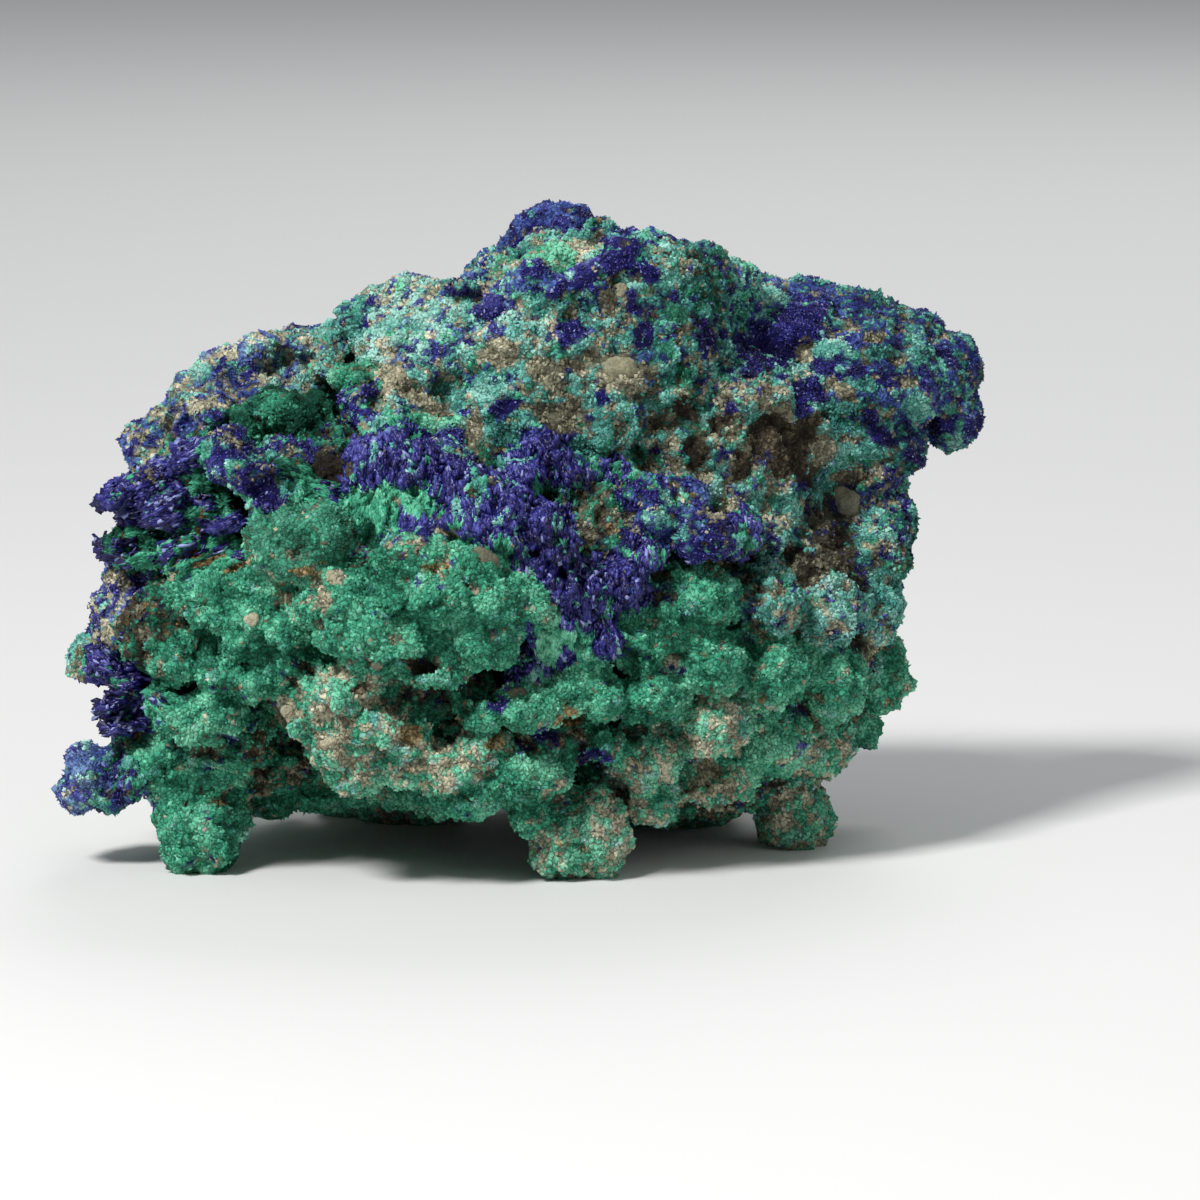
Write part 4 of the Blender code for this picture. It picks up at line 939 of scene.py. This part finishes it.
def joinedMesh(name, plan, places, normals, axes, sizes, colours, draw):
    # one mesh of many small closed shapes
    corners, faces = templates[plan["shape"]]
    count = len(places)
    local = np.repeat(corners[None], count, axis=0) * sizes[:, None, :]
    local *= 1 + draw.uniform(-plan["uneven"], plan["uneven"], local.shape)
    offsets = np.einsum("nvk,nkj->nvj", local, axes)
    triangles = faces[None] + (np.arange(count) * len(corners))[:, None, None]
    mesh = bpy.data.meshes.new(name)
    mesh.vertices.add(count * len(corners))
    mesh.vertices.foreach_set("co", ((offsets + places[:, None, :]) * mm).astype(np.float32).ravel())
    mesh.loops.add(triangles.size)
    mesh.loops.foreach_set("vertex_index", triangles.astype(np.int32).ravel())
    mesh.polygons.add(triangles.size // 3)
    mesh.polygons.foreach_set("loop_start", np.arange(0, triangles.size, 3, dtype=np.int32))
    mesh.update(calc_edges=True)
    # painted light and shade: the outer corners of each shape are made paler and those at its foot darker
    outward = np.einsum("nvj,nj->nv", offsets, normals)
    outward /= np.abs(outward).max(axis=1)[:, None]
    shade = 1.0 + outward * grainRules["paintedTipLight"]
    writeColours(mesh, "tone", (colours[:, None, :] * shade[:, :, None]).reshape(-1, 3))
    if plan["soft"] is not None:
        mesh.shade_smooth()
        own = offsets / np.linalg.norm(offsets, axis=2)[:, :, None]
        shaded = own * (1 - plan["soft"]) + normals[:, None, :] * plan["soft"]
        shaded /= np.linalg.norm(shaded, axis=2)[:, :, None]
        mesh.normals_split_custom_set_from_vertices(shaded.reshape(-1, 3).tolist())
    print(name + ":", count, "shapes,", triangles.size // 3, "triangles")
    return addObject(name, mesh)


def growOnSkin(body):
    draw = np.random.default_rng(grainRules["seed"])
    skin = skinPlaces(body, draw)
    clear = (skin["point"][:, 2] > grainRules["footClearance"]) & (np.abs(skin["normal"][:, 2]) < 0.999)
    skin = {key: values[clear] for key, values in skin.items()}
    first = firstAndSecond(mineralScores(skin["base"], skin["normal"], skin["lobe"]))[0]
    # the shapes take the skin's level, with its painted light and shade
    level = brightLevel(skin["base"], skin["rise"], skin["lobe"])
    crust = lobeField.crust[skin["lobe"]]
    front = ((np.array(viewpoint - centre) - skin["point"]) * skin["normal"]).sum(1) > 0
    crowd = grainRules["crowding"] + skin["rise"] * grainRules["crowdingByRise"]
    crowd = np.clip(crowd, grainRules["leastCrowding"], 1)
    crowd *= np.where(front, 1, grainRules["rearShare"])
    crowd *= np.where(first == mineralNames.index("sage"), grainRules["sageShare"], 1)
    kept = draw.random(len(crowd)) < crowd
    grown = {}
    for name, plan in growth.items():
        wanted = [mineralNames.index(mineral) for mineral in plan["minerals"]]
        here = kept & np.isin(first, wanted) & np.isin(crust, [
            k for k, kind in enumerate(crustNames) if crusts[kind]["lay"] in plan["lays"]
        ])
        chosen = draw.permutation(np.flatnonzero(here))[:plan["count"]]
        count = len(chosen)
        sizes = np.stack([draw.uniform(*plan[side], count) for side in ("long", "broad", "thin")], axis=1)
        sizes *= draw.uniform(*grainRules["sizeSpread"], count)[:, None]
        sizes *= np.where(front[chosen], 1, grainRules["rearSize"])[:, None]
        normals = skin["normal"][chosen]
        upright, laid = (
            np.array([crusts[kind]["lay"] == lay for kind in crustNames])[crust[chosen]]
            for lay in ("upright", "along")
        )
        axes = grainAxes(
            normals, lobeField.along[skin["lobe"][chosen]], upright, laid, plan["tilt"], draw,
            skin["base"][chosen],
        )
        lift = sizes[:, 1] * (1 - plan["sink"] * 2)
        places = skin["point"][chosen] + normals * lift[:, None]
        # painted light: lighter lifts the shapes above the skin's level, and the glint share gets the glint
        # colour as painted highlights
        tone = level[chosen] + plan["lighter"] + draw.normal(0, plan["spread"], count)
        colours = toneColours(first[chosen], tone)
        colours[draw.random(count) < plan["glint"]] = [linear(c) for c in grainRules["glintColour"]]
        print(name, "could have", int(here.sum()), "places")
        grown[name] = joinedMesh(name, plan, places, normals, axes, sizes, colours, draw)
    return grown


pieces = growOnSkin(body)

# Worn grains of pale rock that sit in the crust, as (across, up, half width, half height, turn, tone),
# placed as the lobes are.
pebbles = {
    "places": [
        (-2.2, 16.65, 0.75, 0.62, 10, "grey"), (5.2, 31.4, 0.5, 0.5, 0, "buff"),
        (5.3, 27.1, 0.92, 0.8, -8, "buff"), (-10.5, 15.6, 0.4, 0.34, 10, "cream"),
        (-4.7, 10.9, 0.34, 0.3, 0, "grey"), (-8.1, 10.7, 0.3, 0.3, 0, "grey"),
        (-15.0, 13.2, 0.42, 0.4, 0, "cream"), (13.9, 25.0, 0.35, 0.35, 0, "buff"),
        (-0.3, 9.1, 0.5, 0.35, 0, "grey"), (-10.7, 6.4, 0.6, 0.4, -20, "cream"),
        (-13.0, 8.1, 0.4, 0.35, 0, "cream"), (1.7, 24.4, 0.6, 0.45, 20, "grey"),
        (17.5, 19.6, 0.95, 1.05, 0, "grey"), (12.2, 22.8, 0.4, 0.35, 0, "grey"),
    ],
    "tones": {"grey": (112, 111, 94), "buff": (150, 147, 120), "cream": (180, 174, 148)},
    "deep": 0.6,  # half depth as a part of the half width
    "sink": 0.55,
    "lumpSize": 0.6, "lump": 0.24,  # as a part of the half width
    "pitSize": 0.22, "pit": 0.10,
    "roundness": 4,
    "speckleSize": 0.3, "speckle": 0.3,
}


def makePebbles(body):
    graph = bpy.context.evaluated_depsgraph_get()
    skin = bvhtree.BVHTree.FromObject(body, graph)
    bm = bmesh.new()
    shades, widths = [], []
    eye = (viewpoint - centre) * mm
    for across, up, halfWidth, halfHeight, turn, tone in pebbles["places"]:
        aim = (sightPoint(across, up, 0.0) * mm - eye).normalized()
        hit = skin.ray_cast(eye, aim)[0]
        halfDepth = halfWidth * pebbles["deep"]
        place = Matrix.Translation(hit + aim * halfDepth * pebbles["sink"] * mm)
        tip = Matrix.Rotation(math.radians(turn), 4, "Y")
        size = Matrix.Diagonal((halfWidth * mm, halfDepth * mm, halfHeight * mm, 1.0))
        made = bmesh.ops.create_icosphere(
            bm, subdivisions=pebbles["roundness"], radius=1.0, matrix=place @ tip @ size
        )
        shades += [[linear(c) for c in pebbles["tones"][tone]]] * len(made["verts"])
        widths += [halfWidth] * len(made["verts"])
    mesh = meshFrom("rockPebbles", bm)
    points = readArray(mesh.vertices, "co", 3) / mm
    normals = readArray(mesh.vertices, "normal", 3)
    lump = noiseField(points, pebbles["lumpSize"], 81) * pebbles["lump"]
    lump += noiseField(points, pebbles["pitSize"], 83) * pebbles["pit"]
    moved = (points + normals * (lump * widths)[:, None]) * mm
    mesh.vertices.foreach_set("co", moved.astype(np.float32).ravel())
    spread = 1 + noiseField(points, pebbles["speckleSize"], 82)[:, None] * pebbles["speckle"]
    writeColours(mesh, "tone", np.array(shades) * spread)
    mesh.shade_smooth()
    print("pebbles:", len(pebbles["places"]))
    return addObject("rockPebbles", mesh)


pieces["rockPebbles"] = makePebbles(body)

# Materials read the colour that each shape carries, and vary it finely over the surface.
crystalFinish = {"roughness": 0.38, "grain": 0.12, "bump": 0.03, "vary": 0.30, "specular": 0.5}
finishes = {
    "azuriteBlades": crystalFinish,
    "azuritePlates": crystalFinish,
    "azuriteCrystals": crystalFinish,
    "malachiteFibres": {"roughness": 0.80, "grain": 0.14, "bump": 0.05, "vary": 0.30, "specular": 0.25},
    "malachiteCrumbs": {"roughness": 0.85, "grain": 0.12, "bump": 0.07, "vary": 0.35, "specular": 0.2},
    "paleCrumbs": {"roughness": 0.92, "grain": 0.12, "bump": 0.06, "vary": 0.30, "specular": 0.2},
    "rockGrains": {"roughness": 0.90, "grain": 0.16, "bump": 0.05, "vary": 0.35, "specular": 0.15},
    "rockPebbles": {"roughness": 0.90, "grain": 0.14, "bump": 0.20, "vary": 0.40, "specular": 0.15},
}
bodyFinish = {
    "roughness": 0.9, "specular": 0.2,
    "cell": 0.30,  # width of the crumbs drawn between the grown ones
    "wander": 0.22, "wanderSize": 0.5,
    # the gap values paint shade into a thin band along the edges of the drawn crumbs, as in the cracks
    # between them
    "cellVary": 0.32, "gapShade": 0.34, "gapShadeWidth": 0.16,
    "grain": 0.10, "vary": 0.25, "bump": 0.16,
}


def newMaterial(name, finish):
    material = bpy.data.materials.new(name)
    material.use_nodes = True
    shader = material.node_tree.nodes["Principled BSDF"]
    shader.inputs["Roughness"].default_value = finish["roughness"]
    shader.inputs["Specular IOR Level"].default_value = finish["specular"]
    return material, material.node_tree.nodes, material.node_tree.links, shader


def noiseNode(nodes, links, place, width, detail):
    node = nodes.new("ShaderNodeTexNoise")
    node.inputs["Scale"].default_value = 1 / (width * mm)
    node.inputs["Detail"].default_value = detail
    node.inputs["Roughness"].default_value = 0.65
    links.new(place, node.inputs["Vector"])
    return node


def rangeNode(nodes, links, value, low, high, toLow, toHigh):
    node = nodes.new("ShaderNodeMapRange")
    node.inputs["From Min"].default_value = low
    node.inputs["From Max"].default_value = high
    node.inputs["To Min"].default_value = toLow
    node.inputs["To Max"].default_value = toHigh
    links.new(value, node.inputs["Value"])
    return node.outputs["Result"]


def scaleNode(nodes, links, vector, factor):
    node = nodes.new("ShaderNodeVectorMath")
    node.operation = "SCALE"
    links.new(vector, node.inputs[0])
    links.new(factor, node.inputs["Scale"])
    return node.outputs["Vector"]


def mathNode(nodes, links, operation, first, second):
    node = nodes.new("ShaderNodeMath")
    node.operation = operation
    links.new(first, node.inputs[0])
    links.new(second, node.inputs[1])
    return node.outputs["Value"]


def bumpNode(nodes, links, height, distance, shader):
    node = nodes.new("ShaderNodeBump")
    node.inputs["Distance"].default_value = distance * mm
    links.new(height, node.inputs["Height"])
    links.new(node.outputs["Normal"], shader.inputs["Normal"])


def toneNode(nodes, name):
    node = nodes.new("ShaderNodeAttribute")
    node.attribute_name = name
    return node


def grainMaterial(name, finish):
    material, nodes, links, shader = newMaterial(name, finish)
    place = nodes.new("ShaderNodeTexCoord").outputs["Object"]
    grain = noiseNode(nodes, links, place, finish["grain"], 4).outputs["Fac"]
    bright = rangeNode(nodes, links, grain, 0.25, 0.75, 1 - finish["vary"], 1 + finish["vary"])
    colour = scaleNode(nodes, links, toneNode(nodes, "tone").outputs["Color"], bright)
    links.new(colour, shader.inputs["Base Color"])
    bumpNode(nodes, links, grain, finish["bump"], shader)
    return material


def cellNode(nodes, links, place, feature):
    node = nodes.new("ShaderNodeTexVoronoi")
    node.feature = feature
    node.inputs["Scale"].default_value = 1 / (bodyFinish["cell"] * mm)
    links.new(place, node.inputs["Vector"])
    return node


def bodyMaterial():
    # the skin between the grown shapes is drawn as crumbs too: each has its own brightness, and near
    # a border between two minerals each takes one mineral's colour or the other's. The cracks between
    # the crumbs are painted darker, as shade.
    finish = bodyFinish
    material, nodes, links, shader = newMaterial("specimenBody", finish)
    place = nodes.new("ShaderNodeTexCoord").outputs["Object"]
    drift = noiseNode(nodes, links, place, finish["wanderSize"], 2).outputs["Color"]
    wander = nodes.new("ShaderNodeVectorMath")
    wander.operation = "MULTIPLY_ADD"
    wander.inputs[1].default_value = [finish["wander"] * mm] * 3
    links.new(drift, wander.inputs[0])
    links.new(place, wander.inputs[2])
    wandered = wander.outputs["Vector"]
    cells = cellNode(nodes, links, wandered, "F1")
    edges = cellNode(nodes, links, wandered, "DISTANCE_TO_EDGE")
    parts = nodes.new("ShaderNodeSeparateXYZ")
    links.new(cells.outputs["Color"], parts.inputs["Vector"])
    tone = toneNode(nodes, "tone")
    stray = toneNode(nodes, "stray")
    pick = mathNode(nodes, links, "LESS_THAN", parts.outputs["X"], tone.outputs["Alpha"])
    mix = nodes.new("ShaderNodeMix")
    mix.data_type = "RGBA"
    links.new(pick, mix.inputs["Factor"])
    links.new(tone.outputs["Color"], mix.inputs["A"])
    links.new(stray.outputs["Color"], mix.inputs["B"])
    grain = noiseNode(nodes, links, place, finish["grain"], 4).outputs["Fac"]
    factors = [
        rangeNode(nodes, links, parts.outputs["Y"], 0, 1, 1 - finish["cellVary"], 1 + finish["cellVary"]),
        # painted shade along the crumbs' edges
        rangeNode(nodes, links, edges.outputs["Distance"], 0, finish["gapShadeWidth"], finish["gapShade"], 1),
        rangeNode(nodes, links, grain, 0.25, 0.75, 1 - finish["vary"], 1 + finish["vary"]),
    ]
    colour = mix.outputs["Result"]
    for factor in factors:
        colour = scaleNode(nodes, links, colour, factor)
    links.new(colour, shader.inputs["Base Color"])
    lumps = rangeNode(nodes, links, cells.outputs["Distance"], 0, 1, 1, 0)
    bumpNode(nodes, links, mathNode(nodes, links, "ADD", lumps, grain), finish["bump"], shader)
    return material


pieces["specimenBody"] = body
for name, piece in pieces.items():
    material = bodyMaterial() if piece is body else grainMaterial(name, finishes[name])
    piece.data.materials.clear()
    piece.data.materials.append(material)
    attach(piece, "root")
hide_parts("azurite_specimen")
print("materials done")

studio = {
    "lens": 8033 / 1200 * 36, "sensor": 36, "clip": (0.01, 20),
    "aim": (0, 0, 0.016),  # the lights point at the middle of the specimen
    "floorSize": 6.0,
    "floorColour": (0.72, 0.715, 0.70),
    "world": (0.86, 0.90, 0.96),
    "worldStrength": 0.28,
    "key": {"place": (-0.24, -0.30, 0.42), "size": 0.12, "watts": 3.7},
    "fill": {"place": (0.42, -0.34, 0.22), "size": 0.40, "watts": 0.35},
    "back": {"place": (0.10, 0.45, 0.38), "size": 0.30, "watts": 0.9},
}


def addCamera():
    data = bpy.data.cameras.new("photoCamera")
    data.sensor_width = studio["sensor"]
    data.lens = studio["lens"]
    data.clip_start, data.clip_end = studio["clip"]
    camera = addObject("photoCamera", data)
    camera.location = (viewpoint - centre) * mm
    camera.rotation_euler = (math.pi / 2 - lookDown, 0, 0)
    bpy.context.scene.camera = camera


def addLight(name, plan):
    data = bpy.data.lights.new(name, "AREA")
    data.energy = plan["watts"]
    data.size = plan["size"]
    light = addObject(name, data)
    light.location = plan["place"]
    aim = Vector(studio["aim"]) - Vector(plan["place"])
    light.rotation_euler = aim.to_track_quat("-Z", "Y").to_euler()


def addFloor():
    bm = bmesh.new()
    bmesh.ops.create_grid(bm, x_segments=1, y_segments=1, size=studio["floorSize"] / 2)
    floor = addObject("floor", meshFrom("floor", bm))
    material = bpy.data.materials.new("floor")
    material.use_nodes = True
    shader = material.node_tree.nodes["Principled BSDF"]
    shader.inputs["Base Color"].default_value = (*studio["floorColour"], 1)
    shader.inputs["Roughness"].default_value = 0.7
    floor.data.materials.append(material)


def addWorld():
    world = bpy.data.worlds.new("studio")
    world.use_nodes = True
    background = world.node_tree.nodes["Background"]
    background.inputs["Color"].default_value = (*studio["world"], 1)
    background.inputs["Strength"].default_value = studio["worldStrength"]
    bpy.context.scene.world = world


addCamera()
addLight("keyLight", studio["key"])
addLight("fillLight", studio["fill"])
addLight("backLight", studio["back"])
addFloor()
addWorld()
bpy.context.scene.view_settings.view_transform = "Standard"
print("studio done")
